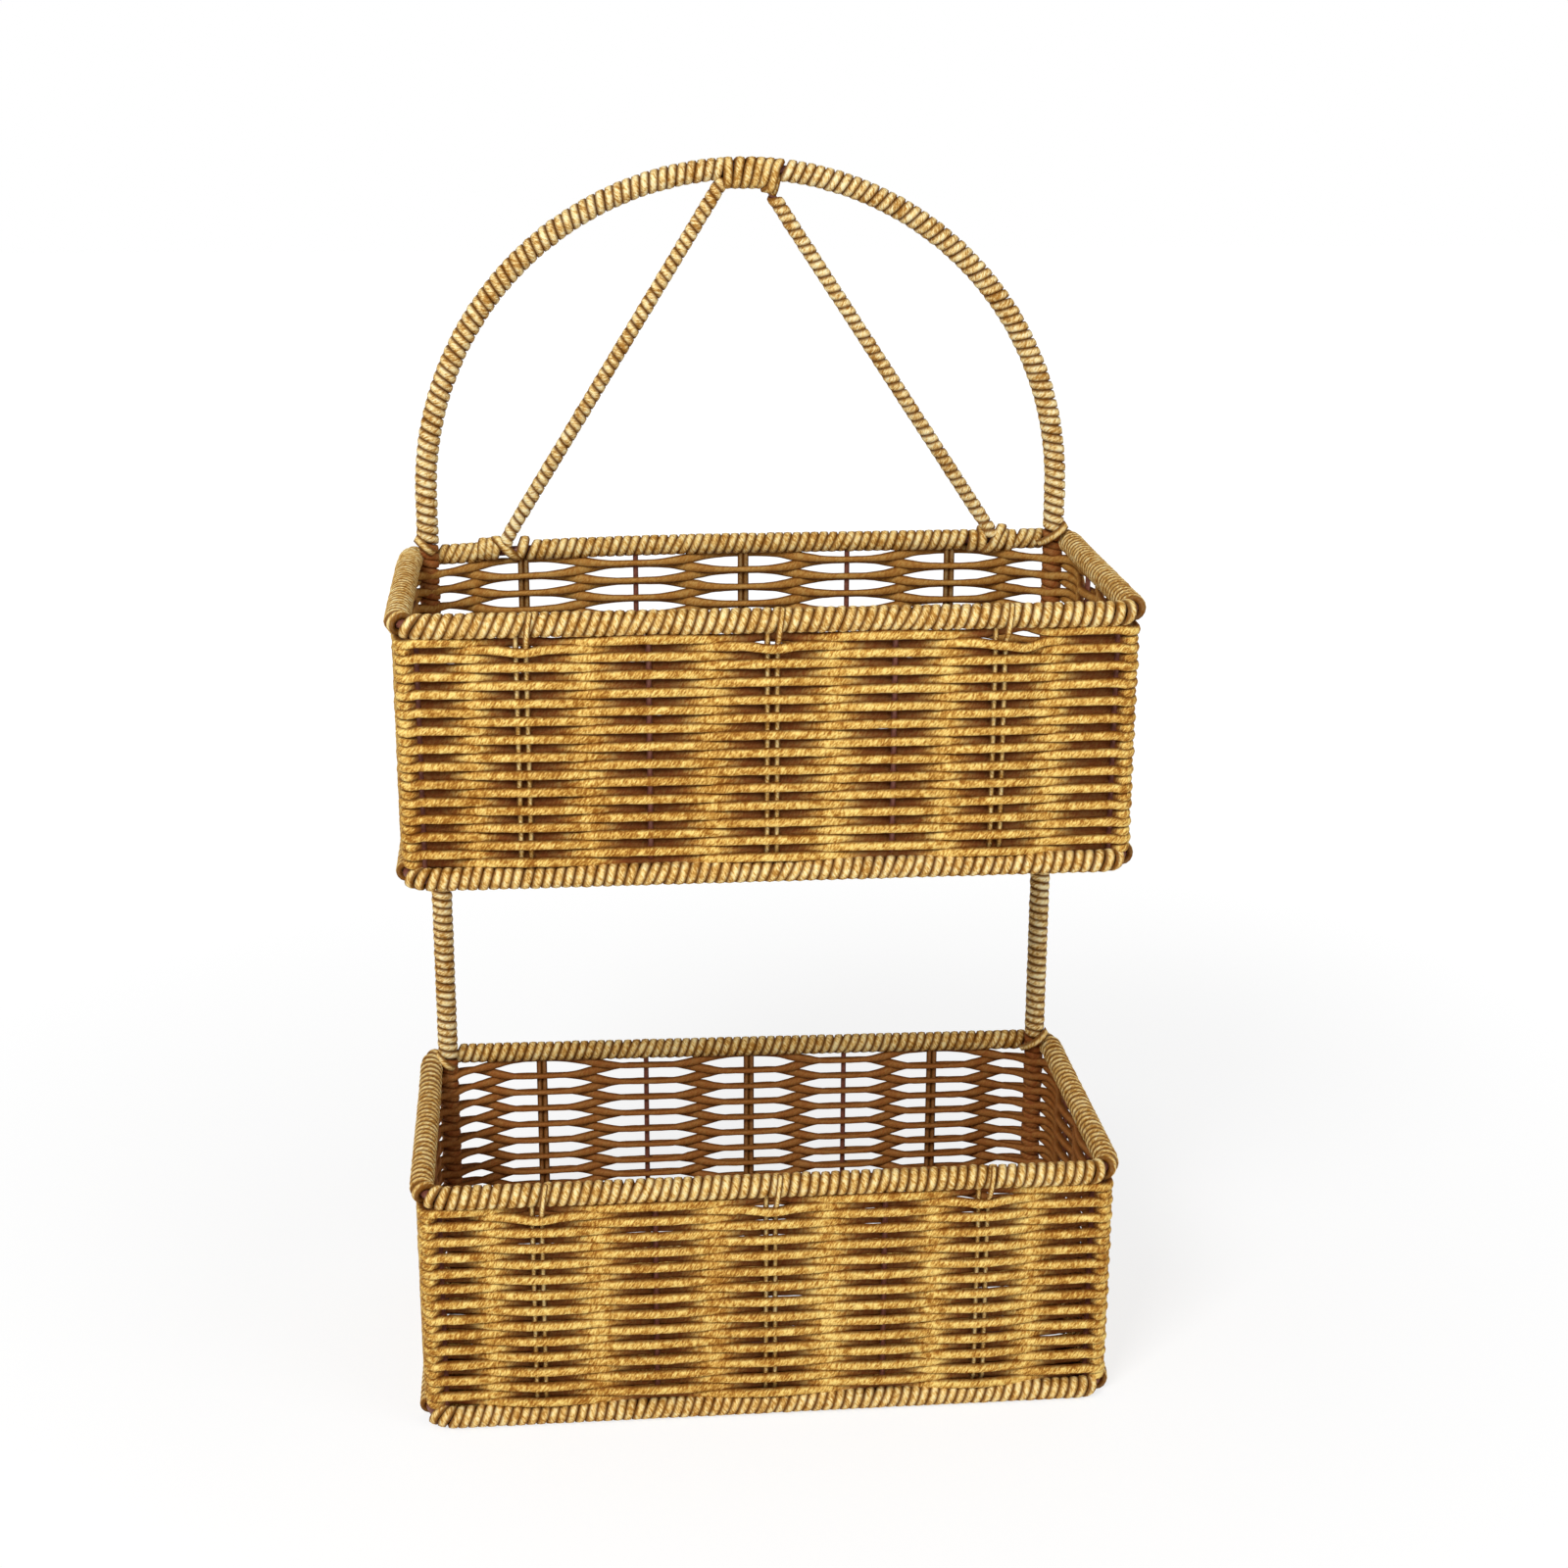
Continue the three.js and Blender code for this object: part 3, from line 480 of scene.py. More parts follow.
def sampled(tree, route, at, label):
    """A stored value at a length along a curve, with the curve's place and direction there."""
    values = {"Curves": route, "Value": stored(tree, label), "Length": at}
    value = add_node(tree, "GeometryNodeSampleCurve", {"mode": "LENGTH"}, values, output="Value")
    outputs = value.socket.node.outputs
    return value, Link(tree, outputs["Position"]), Link(tree, outputs["Tangent"])


def strung(tree, points, moved, outward, marks):
    """Moves a line of points to their places and makes a curve of them, with its marks stored."""
    placed = add_node(tree, "GeometryNodeSetPosition", {}, {"Geometry": points, "Position": moved})
    kept = store(tree, placed, "outward", outward, "FLOAT_VECTOR")
    for label, value in marks.items():
        kept = store(tree, kept, label, value)
    return {"Curve": as_curve(tree, kept), "Outward": stored(tree, "outward", "FLOAT_VECTOR")}


STEPS_PER_TURN = 16
PULLED_TIGHT = 0.1
WOUND_UNEVENNESS = 0.16
winding_tree, entry = new_tree(
    "winding",
    Geometry=["Route"],
    Vector=["Across"],
    Float=["Middle Radius", "Cord Width", "Cord Thickness", "Pitch"]
    + ["Start Turn", "Leaning Side", "Unevenness", "Shaded", "Seed"],
    Material=["Material"],
)
tree = winding_tree
route = as_curve(tree, entry["Route"])
run = add_node(tree, "GeometryNodeCurveLength", {}, {"Curve": route})
turns = (run / entry["Pitch"]).call("ROUND")
steps = turns * STEPS_PER_TURN
points = add_node(tree, "GeometryNodeMeshLine", {}, {"Count": steps + 1, "Offset": (0, 0, 0)})
index = add_node(tree, "GeometryNodeInputIndex")
turn = index / STEPS_PER_TURN
noise_at = turn * 0.45 + entry["Seed"] * 7.3
wander = noise(tree, noise_at, 1.0, 2, line=True)
swell = noise(tree, noise_at + 31.7, 1.3, 1, line=True)
inside = (index / steps) * (1 - index / steps) * turns
held = add_node(tree, "ShaderNodeClamp", {}, {"Value": inside})
shift = (wander - 0.5) * entry["Unevenness"] * held
on_route = {"Value": run * (index / steps) + shift, "Min": 0.0, "Max": run}
at = add_node(tree, "ShaderNodeClamp", {}, on_route)
lean, middle, tangent = sampled(tree, route, at, "lean")
side = vector_math(tree, "CROSS_PRODUCT", tangent, entry["Across"])
angle = (turn + entry["Start Turn"]) * (-2 * math.pi)
radius = entry["Middle Radius"] + (swell - 0.5) * entry["Unevenness"] * 0.5
upward = vector_math(tree, "SCALE", entry["Across"], scale=angle.call("COSINE"))
sideways = vector_math(tree, "SCALE", side, scale=angle.call("SINE"))
spoke = vector_math(tree, "ADD", upward, sideways)
out = vector_math(tree, "SCALE", spoke, scale=radius)
to_side = (angle + entry["Leaning Side"]).call("COSINE")
leaning = vector_math(tree, "SCALE", tangent, scale=lean * radius * to_side)
moved = vector_math(tree, "ADD", vector_math(tree, "ADD", middle, out), leaning)
# A shaded winding stores a negative swing, so the material paints its turns in shade.
helix = strung(tree, points, moved, spoke, {"swing": 0 - entry["Shaded"]})
helix.update({"Width": entry["Cord Width"], "Thickness": entry["Cord Thickness"]})
helix.update({"Squareness": PULLED_TIGHT, "Fullness": 1.0, "Unevenness": WOUND_UNEVENNESS})
add_strand(tree, entry, helix)

TURN_FULLNESS = 1.02
winding_seeds = itertools.count(1)


def wound(name, points, diameter, pitch, lean, across=UP, wire=FRAME_WIRE, finish=wound_cord, shaded=0.0):
    """Cord wound along the points. Each turn is pulled against the last one, and leans by a share of its
    height. Both ends are tucked away behind the wire."""
    thickness = (diameter - wire) / 2
    dense = evenly(points, ROUTE_STEP)
    leans = [lean(p) if callable(lean) else lean for p in dense]
    sizes = {
        "Across": across,
        "Middle Radius": (diameter - thickness) / 2,
        "Cord Width": pitch * TURN_FULLNESS,
        "Cord Thickness": thickness,
        "Pitch": pitch,
        "Start Turn": 0.5,
        "Leaning Side": 0.0 if across == UP else math.pi / 2,
        "Unevenness": 0.9 * mm,
        "Shaded": shaded,
        "Seed": float(next(winding_seeds)),
        "Material": finish,
    }
    return grow(drawn_line(name, [dense], lean=leans), winding_tree, sizes)


def winding(node, *details, **more):
    """A winding in place of the plain sleeve of that name."""
    settle(wound(f"{node}_turns", *details, **more), "paper_cord", node)


# Arch, legs and brace: the hoop's windings of paper cord run from the crown lashing down to the upper
# rim, and again between the baskets. The brace's two arms are wound with thinner turns, which reach over
# the back rim's front. Their cord is paler than the rims'.
PALE_TONES = ((1.0, 0.88, 0.52), (0.93, 0.67, 0.27), *WOUND_TONES[2:])
pale_cord = paper_cord("pale wound paper cord", PALE_TONES, (0.2, 0.82))
ARCH_COVER, LEG_COVER, RIM_COVER, BASE_COVER = 11.6 * mm, 11.2 * mm, 12.4 * mm, 11.4 * mm
ARCH_PITCH, ARCH_LEAN = 4.75 * mm, 0.18
LEG_PITCH, LEG_LEAN = 4.5 * mm, 0.03
CROWN_START = {-1: -10.8 * mm, 1: 19.9 * mm}
SIDES = (("left", -1), ("right", 1))
for side_name, sx in SIDES:
    reach = math.degrees(math.asin(abs(CROWN_START[sx]) / LEG_X))
    foot = [Vector((sx * LEG_X, LEG_Y, UPPER_RIM + RIM_COVER / 2))]
    curve = arc(Vector((0, LEG_Y, ARCH_SPRING)), LEG_X, 0, 90 - reach, 40, FRONTWARD)
    points = foot + [Vector((sx * p.x, p.y, p.z)) for p in curve]
    on_hoop = {"across": FRONTWARD, "finish": pale_cord}
    winding(f"arch_cover_{side_name}", points, ARCH_COVER, ARCH_PITCH, ARCH_LEAN, **on_hoop)
    top = UPPER_RIM - BASKET_HEIGHT - BASE_COVER / 2
    bottom = UPPER_RIM - BASKET_SPACING + RIM_COVER / 2
    leg = [Vector((sx * LEG_X, LEG_Y, z)) for z in (bottom, top)]
    winding(f"leg_cover_{side_name}", leg, LEG_COVER, LEG_PITCH, LEG_LEAN, **on_hoop)

BRACE_COVER, BRACE_PITCH, BRACE_TURN_LEAN = 7.6 * mm, 4.76 * mm, 0.14
FOOT_FORWARD, FOOT_DOWN = -4.6 * mm, 1.2 * mm
for side_name, foot, shoulder, low_end, high_end in (
    ("left", brace_corners[0], brace_corners[1], 3.5 * mm, 1.0 * mm),
    ("right", brace_corners[3], brace_corners[2], 4.6 * mm, 12.2 * mm),
):
    upwards = (shoulder - foot).normalized()
    over_rim = foot + Vector((0, FOOT_FORWARD, -FOOT_DOWN))
    above_rim = foot + upwards * low_end + Vector((0, FOOT_FORWARD / 2, 0))
    arm = [over_rim, above_rim, foot + upwards * 12 * mm, shoulder - upwards * high_end]
    on_arm = {"across": ACROSS_BRACE, "wire": BRACE_WIRE, "finish": pale_cord}
    winding(f"brace_cover_{side_name}", arm, BRACE_COVER, BRACE_PITCH, BRACE_TURN_LEAN, **on_arm)


# Rims and base rings: each side of a ring is wound with paper cord by itself, and the turns are closest
# on the bases. A few turns lie slanted where a stake's end is tucked under the winding.
BACK_TURN = 42
BACK_COVER, BACK_PITCH, SIDE_LEAN = 11 * mm, 4.75 * mm, 0.1
# How far the front's turns and the side's turns go round each front bend, at the left and the right, in
# degrees.
BARE_CORNERS = {
    "upper_rim": ((36, 40), (48, 14)),
    "lower_rim": ((38, 40), (38, 40)),
    "upper_base": ((50, 12), (48, 12)),
    "lower_base": ((47, 10), (42, 24)),
}
# Where turns lie slanted, in millimetres from the middle.
SLANTS = {
    "upper_rim_front": (-61, 65),
    "upper_rim_back": (-33, 52, 148, -150),
    "upper_base_front": (-57, 8, 62),
    "lower_rim_front": (-64, 54),
    "lower_rim_back": (-58, 60, 140),
    "lower_base_front": (-58, 58),
}
SLANT, SLANT_LENGTH = 0.3, 7
# How the turns of each front lean at ten places, from its left end to its right end.
USUAL_LEANS = {
    "upper_rim_front": (0.46, 0.32, 0.33, 0.27, 0.25, 0.24, 0.36, 0.33, 0.18, 0.12),
    "upper_base_front": (0.14, 0.10, 0.12, 0.19, 0.26, 0.22, 0.18, 0.22, 0.25, 0.16),
    "lower_rim_front": (0.18, 0.21, 0.22, 0.18, 0.11, 0.06, 0.03, 0.05, 0.09, 0.14),
    "lower_base_front": (0.30, 0.12, 0.12, 0.25, 0.40, 0.34, 0.18, 0.22, 0.32, 0.25),
}
LEAN_START, LEAN_SPACING, OTHER_LEANS = -135, 30, (0.28,) * 10


def hump(x, middle, width):
    return math.exp(-(((x - middle) / width) ** 2))


def slanted(name, sign=1):
    """How much the turns lean at a point: as usual there, and more at the tucked ends."""
    tucked = SLANTS.get(name, ())
    usual = USUAL_LEANS.get(name, OTHER_LEANS)

    def lean(p):
        place = min(8.999, max(0.0, (p.x / mm - LEAN_START) / LEAN_SPACING))
        first, share = int(place), place % 1
        steady = usual[first] + (usual[first + 1] - usual[first]) * share
        return sign * (steady + sum(SLANT * hump(p.x / mm, x, SLANT_LENGTH) for x in tucked))

    return lean


for basket, rim_level in levels.items():
    for part, level, cover, pitch in (
        ("rim", rim_level, RIM_COVER, 4.95 * mm),
        ("base", rim_level - BASKET_HEIGHT, BASE_COVER, 4.88 * mm),
    ):
        ring_name = f"{basket}_{part}"
        left = Vector((-HALF_WIDTH + RIM_BEND, -HALF_DEPTH + RIM_BEND, level))
        right = Vector((HALF_WIDTH - RIM_BEND, -HALF_DEPTH + RIM_BEND, level))
        (left_front, left_turn), (right_front, right_turn) = BARE_CORNERS[ring_name]
        front = arc(left, RIM_BEND, 270 - left_front, 270, 4)
        front += arc(right, RIM_BEND, 270, 270 + right_front, 4)
        winding(f"{ring_name}_cover_front", front, cover, pitch, slanted(f"{ring_name}_front"))
        back_bend = Vector((0, 2 * (HALF_DEPTH - RIM_BEND), 0))
        left_side = arc(left + back_bend, RIM_BEND, 180 - BACK_TURN, 180, 4)
        left_side += arc(left, RIM_BEND, 180, 180 + left_turn, 4)
        winding(f"{ring_name}_cover_left", as_hung(basket, part, left_side), cover, pitch, SIDE_LEAN)
        right_side = arc(right + back_bend, RIM_BEND, BACK_TURN, 0, 4)
        right_side += arc(right, RIM_BEND, 0, -right_turn, 4)
        right_side = as_hung(basket, part, list(reversed(right_side)))
        winding(f"{ring_name}_cover_right", right_side, cover, pitch, SIDE_LEAN)
        stops = [-HALF_WIDTH + RIM_BEND, HALF_WIDTH - RIM_BEND]
        names = [f"{ring_name}_cover_back"]
        if ring_name == "upper_rim":
            names = [f"upper_rim_cover_back_{place}" for place in ("left", "middle", "right")]
            stops = [c for node in names for c in (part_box(node)[0].x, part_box(node)[1].x)]
        for i, node in enumerate(names):
            ends = [Vector((x, HALF_DEPTH, level)) for x in (stops[2 * i + 1], stops[2 * i])]
            lean = slanted(f"{ring_name}_back", -1)
            winding(node, as_hung(basket, part, ends), BACK_COVER, BACK_PITCH, lean)


# Corner ties: where the hoop's legs pass inside a rim's back corners, a short length of the same paper
# cord is drawn slanting across each of them. Its ends are pushed in beside the rim's winding, and it
# holds the basket to the hoop.
TIES = {
    "left": ((-171.2, 74.5, 8.4), (-169, 70.6, 7), (-166.4, 69.2, 4.6), (-163.6, 69.8, 2), (-161.6, 73, 0.2)),
    "right": ((171.6, 74.5, 10.2), (169, 70.8, 8.6), (165, 69, 5.8), (160, 70.2, 2.4), (156.4, 74.5, -0.2)),
}
TIE_CORD, CLOSE_STEP = (4.4 * mm, 3.2 * mm), 1.6 * mm
for basket, rim_level in levels.items():
    for side_name, places in TIES.items():
        tie = [Vector((x * mm, y * mm, rim_level + z * mm)) for x, y, z in places]
        name = f"{basket}_corner_tie_{side_name}"
        settle(swept(name, [tie], FRONTWARD, TIE_CORD, wound_cord, step=CLOSE_STEP), "paper_cord")


# Stakes: each runs down the front wall, under the floor and up the back wall, doubled paper cord and
# single steel wire in turn, with its ends held under the rim's winding. Two single wires cross them from
# side to side, and a thin wire stands in each front corner.
STAKE_X = [-117 * mm, -58 * mm, 0, 58 * mm, 108 * mm]
BACK_STAKE_X = {
    "upper": [-116 * mm, -57 * mm, 0, 55.5 * mm, 110.5 * mm],
    "lower": [-113.5 * mm, -55 * mm, 3 * mm, 57 * mm, 107.5 * mm],
}
SIDE_WIRE_Y = [-HALF_DEPTH / 3, HALF_DEPTH / 3]
STAKE_BEND, STAKE_STEP = 6 * mm, 8 * mm
PAIR_CORD, PAIR_SPREAD = 2.9 * mm, 4.7 * mm
SINGLE_WIRE = 2.8 * mm
POST_X, POST_Y, POST_WIRE, POST_STEPS = 165.5 * mm, -79.5 * mm, 3 * mm, 16
BELOW_RIM, TIED_BELOW = 4.5 * mm, 16 * mm
WALL_Y = 76 * mm
# How a stake lies at the base ring: how far above it the stake bends inwards, and how far below it the
# stake then runs under the floor.
LONG_CORNER, LONG_DROP = 10.47 * mm, 1.55 * mm
CROSS_CORNER, CROSS_DROP = 10.18 * mm, -1.35 * mm
# The right-hand cord of a pair comes out under the front rim and goes up over its winding.
TIED_FORWARD = 6.7
TIED_END = ((0, -9, -11), (0.1, -11.8, -8.6), (0.3, -13.6, -5), (0.9, -14, 0))
TIED_END += ((1.6, -12.4, 4.2), (2.2, -9, 6.4))


def stake_route(place, sideways, reach, rim_level, corner, drop, far_place=None, far_rise=0.0):
    """A stake from the top of one wall to the top of the wall across, its bends rounded."""
    base = rim_level - BASKET_HEIGHT
    far_place = place if far_place is None else far_place
    half = [(reach, rim_level - BELOW_RIM), (reach, base + corner), (reach - corner - drop, base - drop)]
    there = [Vector((place, -r, z)) for r, z in half] + [Vector((far_place, r, z)) for r, z in reversed(half)]
    there[-1].z += far_rise
    if sideways:
        there = [Vector((p.y, place, p.z)) for p in there]
    return evenly(bent(there, STAKE_BEND), STAKE_STEP)


def facing_out(point):
    """The way out of the basket at a point of a stake that runs from front to back."""
    return Vector((0, (point.y > 0) - (point.y < 0), 0)) if abs(point.y) > WALL_Y else -UP


for basket, rim_level in levels.items():
    for number, (x, far_x) in enumerate(zip(STAKE_X, BACK_STAKE_X[basket]), 1):
        node = f"{basket}_rib_{number}"
        under = (HALF_DEPTH, rim_level, LONG_CORNER, LONG_DROP)
        rise = hung(basket, Vector((far_x, HALF_DEPTH, 0))) + 2 * mm
        if number % 2:
            places = (x - PAIR_SPREAD / 2, x + PAIR_SPREAD / 2)
            far_places = (far_x - PAIR_CORD / 2, far_x + PAIR_CORD / 2)
            routes = [stake_route(p, False, *under, far, rise) for p, far in zip(places, far_places)]
            tied = [
                Vector((places[1] + a * mm, -HALF_DEPTH + (b + TIED_FORWARD) * mm, rim_level + c * mm))
                for a, b, c in reversed(TIED_END)
            ]
            routes[1] = tied + [p for p in routes[1] if p.y > 0 or p.z < rim_level - TIED_BELOW]
            along_pair = [p for route in routes for p in route]
            # Painted shade: the pairs' cords on the back wall are marked to be darkened as if they lay in
            # deep shade.
            painted_back_shade = [-1.0 if p.y > WALL_Y else 0.0 for p in along_pair]
            facing = [facing_out(p) for p in along_pair]
            pair = swept(f"{node}_cords", routes, facing, [PAIR_CORD], wound_cord, swing=painted_back_shade)
            settle(pair, "paper_cord", node)
        else:
            route = stake_route(x, False, *under, far_x, rise)
            single = swept(f"{node}_wire", [route], Vector((1, 0, 0)), [SINGLE_WIRE], lacquered_wire)
            settle(single, "frame_wire", node)
    for number, y in enumerate(SIDE_WIRE_Y, 1):
        node = f"{basket}_side_wire_{number}"
        route = stake_route(y, True, HALF_WIDTH, rim_level, CROSS_CORNER, CROSS_DROP)
        cross = swept(f"{node}_round", [route], -FRONTWARD, [SINGLE_WIRE], lacquered_wire)
        settle(cross, "frame_wire", node)
    for side_name, sx in SIDES:
        low, high = rim_level - BASKET_HEIGHT, rim_level
        stops = [low + (high - low) * i / POST_STEPS for i in range(POST_STEPS + 1)]
        post = [Vector((sx * POST_X, POST_Y, z)) for z in stops]
        name = f"{basket}_post_{side_name}"
        upright = swept(name, [post], -FRONTWARD, [POST_WIRE], lacquered_wire)
        settle(upright, "frame_wire", f"{basket}_corner_post_{side_name}")


# Woven walls: one long paper cord per basket runs round and round, inside one stake and outside the
# next, and is beaten down row on row. The stakes are doubled cords and single wires in turn, and the
# corners have a post or the hoop's leg.
SETTLED_ROW, LIFTED_ROWS = 0.45, 12.0
weave_tree, entry = new_tree(
    "weaver",
    Geometry=["Outline"],
    Float=["Rounds", "Top", "Drop", "Half Turns", "Cord Width", "Cord Thickness"]
    + ["Slide", "Unevenness", "Step", "Seed"],
    Material=["Material"],
)
tree = weave_tree
route = as_curve(tree, entry["Outline"])
run = add_node(tree, "GeometryNodeCurveLength", {}, {"Curve": route})
per_round = (run / entry["Step"]).call("ROUND")
coil_points = {"Count": (per_round * entry["Rounds"]).call("ROUND") + 1, "Offset": (0, 0, 0)}
points = add_node(tree, "GeometryNodeMeshLine", {}, coil_points)
rounds = add_node(tree, "GeometryNodeInputIndex") / per_round
row = rounds.call("FLOOR")
at = (rounds - row) * run
phase, middle, tangent = sampled(tree, route, at, "phase")
reach, shift, dip, lift, fullness = (
    sampled(tree, route, at, label)[0] for label in ("reach", "shift", "dip", "lift", "fullness")
)
out = vector_math(tree, "CROSS_PRODUCT", tangent, (0, 0, 1))
swing = ((phase + row * entry["Half Turns"]) * math.pi).call("COSINE")
where = vector_math(tree, "SCALE", middle, scale=9.0)
noise_place = vector_math(tree, "ADD", where, combined(tree, 0.0, 0.0, row * 3.7 + entry["Seed"] * 11.3))
sag = noise(tree, noise_place, 1.6, 2)
bulge = noise(tree, vector_math(tree, "ADD", noise_place, (5.3, 1.7, 0)), 2.2, 2)
aside = shift + swing * reach + (bulge - 0.5) * entry["Unevenness"]
fallen = (rounds - SETTLED_ROW).call("MAXIMUM", 0.0).call("MINIMUM", entry["Rounds"] - 1)
full_reach = (reach * (1000 / 3.5)).call("MINIMUM", 1.0)
first_rows = row.call("LESS_THAN", 0.5) * 2 - row.call("LESS_THAN", 1.5)
level = entry["Top"] - fallen * entry["Drop"] + swing * (entry["Slide"] * full_reach) + first_rows * dip
level = level + lift * (1.0 - row / LIFTED_ROWS).call("MAXIMUM", 0.0)
level = level + (sag - 0.5) * entry["Unevenness"]
offset = vector_math(tree, "SCALE", out, scale=aside)
moved = vector_math(tree, "ADD", vector_math(tree, "ADD", middle, offset), combined(tree, 0.0, 0.0, level))
# The swing is kept for the material too, which paints shade on strands that swing inwards behind others.
coil = strung(tree, points, moved, out, {"fullness": fullness, "swing": swing * full_reach})
coil.update({"Width": entry["Cord Width"], "Thickness": entry["Cord Thickness"], "Squareness": 0.0})
coil.update({"Fullness": stored(tree, "fullness"), "Unevenness": 0.3})
add_strand(tree, entry, coil)

# The last three tones are painted shade: for crevices, for strands behind others, and for the side facing
# into the basket.
WOVEN_TONES = (
    (0.94, 0.7, 0.22),
    (0.66, 0.36, 0.07),
    (0.3, 0.11, 0.01),
    (0.13, 0.032, 0.001),
    (0.27, 0.07, 0.018),
    (0.36, 0.15, 0.03),
)
woven_cord = paper_cord("woven paper cord", WOVEN_TONES, (0.5, 1.0))
FRONT_WEAVE_BEND, BACK_WEAVE_BEND = 5 * mm, 27 * mm
CORD_REACH, LEG_REACH = 3.5 * mm, 4.5 * mm

outline = ring(0.0, HALF_WIDTH, HALF_DEPTH, FRONT_WEAVE_BEND, BACK_WEAVE_BEND, 10)
outline = evenly(outline + [outline[0]], 1.5 * mm)[:-1]


def nearest_to(place):
    """The outline's point that is nearest to a place."""
    return min(range(len(outline)), key=lambda i: (outline[i].xy - Vector(place)).length)


start = nearest_to((-LEG_X, LEG_Y))
outline = outline[start:] + outline[: start + 1]
travelled = [0.0]
for a, b in zip(outline, outline[1:]):
    travelled.append(travelled[-1] + (b - a).length)

# Where the cord changes sides: the place, the half turns so far, how far it swings out and in there,
# and how far the middle of the swing lies outside the rim's line.
TOGETHER, ROUND_POST = (0.3 * mm, -0.2 * mm), (4.2 * mm, -3.3 * mm)
BESIDE_LEG = (0.3 * mm, 1.5 * mm)
FRONT_BEND_Y = -HALF_DEPTH + 8 * mm
stakes = [((-LEG_X, LEG_Y), 0, LEG_REACH, 0), ((-171.8 * mm, 68 * mm), 0.4, *BESIDE_LEG)]
stakes += [((-HALF_WIDTH, 56 * mm), 0.5, *BESIDE_LEG)]
stakes += [((-HALF_WIDTH, y), 1 + i, CORD_REACH, 0) for i, y in enumerate(reversed(SIDE_WIRE_Y))]
stakes += [((-HALF_WIDTH, FRONT_BEND_Y), 2, *TOGETHER), ((-POST_X - 4 * mm, -HALF_DEPTH), 2, *TOGETHER)]
stakes += [((-POST_X + 1 * mm, -HALF_DEPTH), 2, *ROUND_POST)]
stakes += [((x, -HALF_DEPTH), 3 + i, CORD_REACH, 0) for i, x in enumerate(STAKE_X)]
stakes += [((POST_X - inward, -HALF_DEPTH), 8, *ROUND_POST) for inward in (7 * mm, 1 * mm)]
stakes += [((POST_X + 4 * mm, -HALF_DEPTH), 8, *TOGETHER), ((HALF_WIDTH, FRONT_BEND_Y), 8, *TOGETHER)]
stakes += [((HALF_WIDTH, y), 9 + i, CORD_REACH, 0) for i, y in enumerate(SIDE_WIRE_Y)]
stakes += [((HALF_WIDTH, 56 * mm), 10.5, *BESIDE_LEG), ((171.8 * mm, 68 * mm), 10.6, *BESIDE_LEG)]
stakes += [((LEG_X, LEG_Y), 11, LEG_REACH, 0)]
BACK_FROM, HALF_TURNS = 11, 17


def stops_of(basket):
    """The stakes of one basket as distances along the outline, with their values."""
    back_x = reversed(BACK_STAKE_X[basket])
    behind = [((x, HALF_DEPTH), BACK_FROM + 1 + i, CORD_REACH, 0) for i, x in enumerate(back_x)]
    stops = [(travelled[nearest_to(place)], *values) for place, *values in stakes + behind]
    stops[0] = (0.0, *stops[0][1:])
    return stops + [(travelled[-1], HALF_TURNS, LEG_REACH, 0)]


BACK_HOLD = 0.55


def between_stakes(stops, distance, item):
    """One of the stakes' values, evenly changed from stake to stake. On the back wall the change of side
    is quicker half way between them."""
    for a, b in zip(stops, stops[1:]):
        if distance <= b[0]:
            share = (distance - a[0]) / (b[0] - a[0])
            if item == 1 and a[1] >= BACK_FROM:
                share -= BACK_HOLD * math.sin(2 * math.pi * share) / (2 * math.pi)
            return a[item] + (b[item] - a[item]) * share
    return stops[-1][item]


def near_pairs(basket, point):
    """How much the first rows part at the front wall's doubled stakes, to let the tied ends through, and
    at the upper basket's one slot beside the last pair."""
    if point.y > 0:
        return 0.0
    parted = 1.8 * mm * sum(hump(point.x, x, 9 * mm) for x in STAKE_X[::2])
    slot = 3 * mm * hump(point.x, 120 * mm, 7 * mm)
    return parted + (slot if basket == "upper" else 0.0)


def pulled_up(basket, point):
    """How much higher the first rows lie on the back wall, close under the rim as it hangs."""
    on_back = min(1.0, max(0.0, (point.y / HALF_DEPTH - 0.6) / 0.35))
    return on_back * (2.7 * mm - point.x * 0.006) + hung(basket, point)


def fullness_at(basket, point, phase):
    """The cord's fullness: on the back wall it is stretched thin at the stakes and full between them, and
    the lower basket's front is packed a little tighter."""
    on_back = min(1.0, max(0.0, (point.y / HALF_DEPTH - 0.94) / 0.05))
    packed = 1.07 if basket == "lower" and point.y < 0 else 1.0
    return packed + on_back * (0.1 - 0.44 * math.cos(math.pi * phase) ** 2)


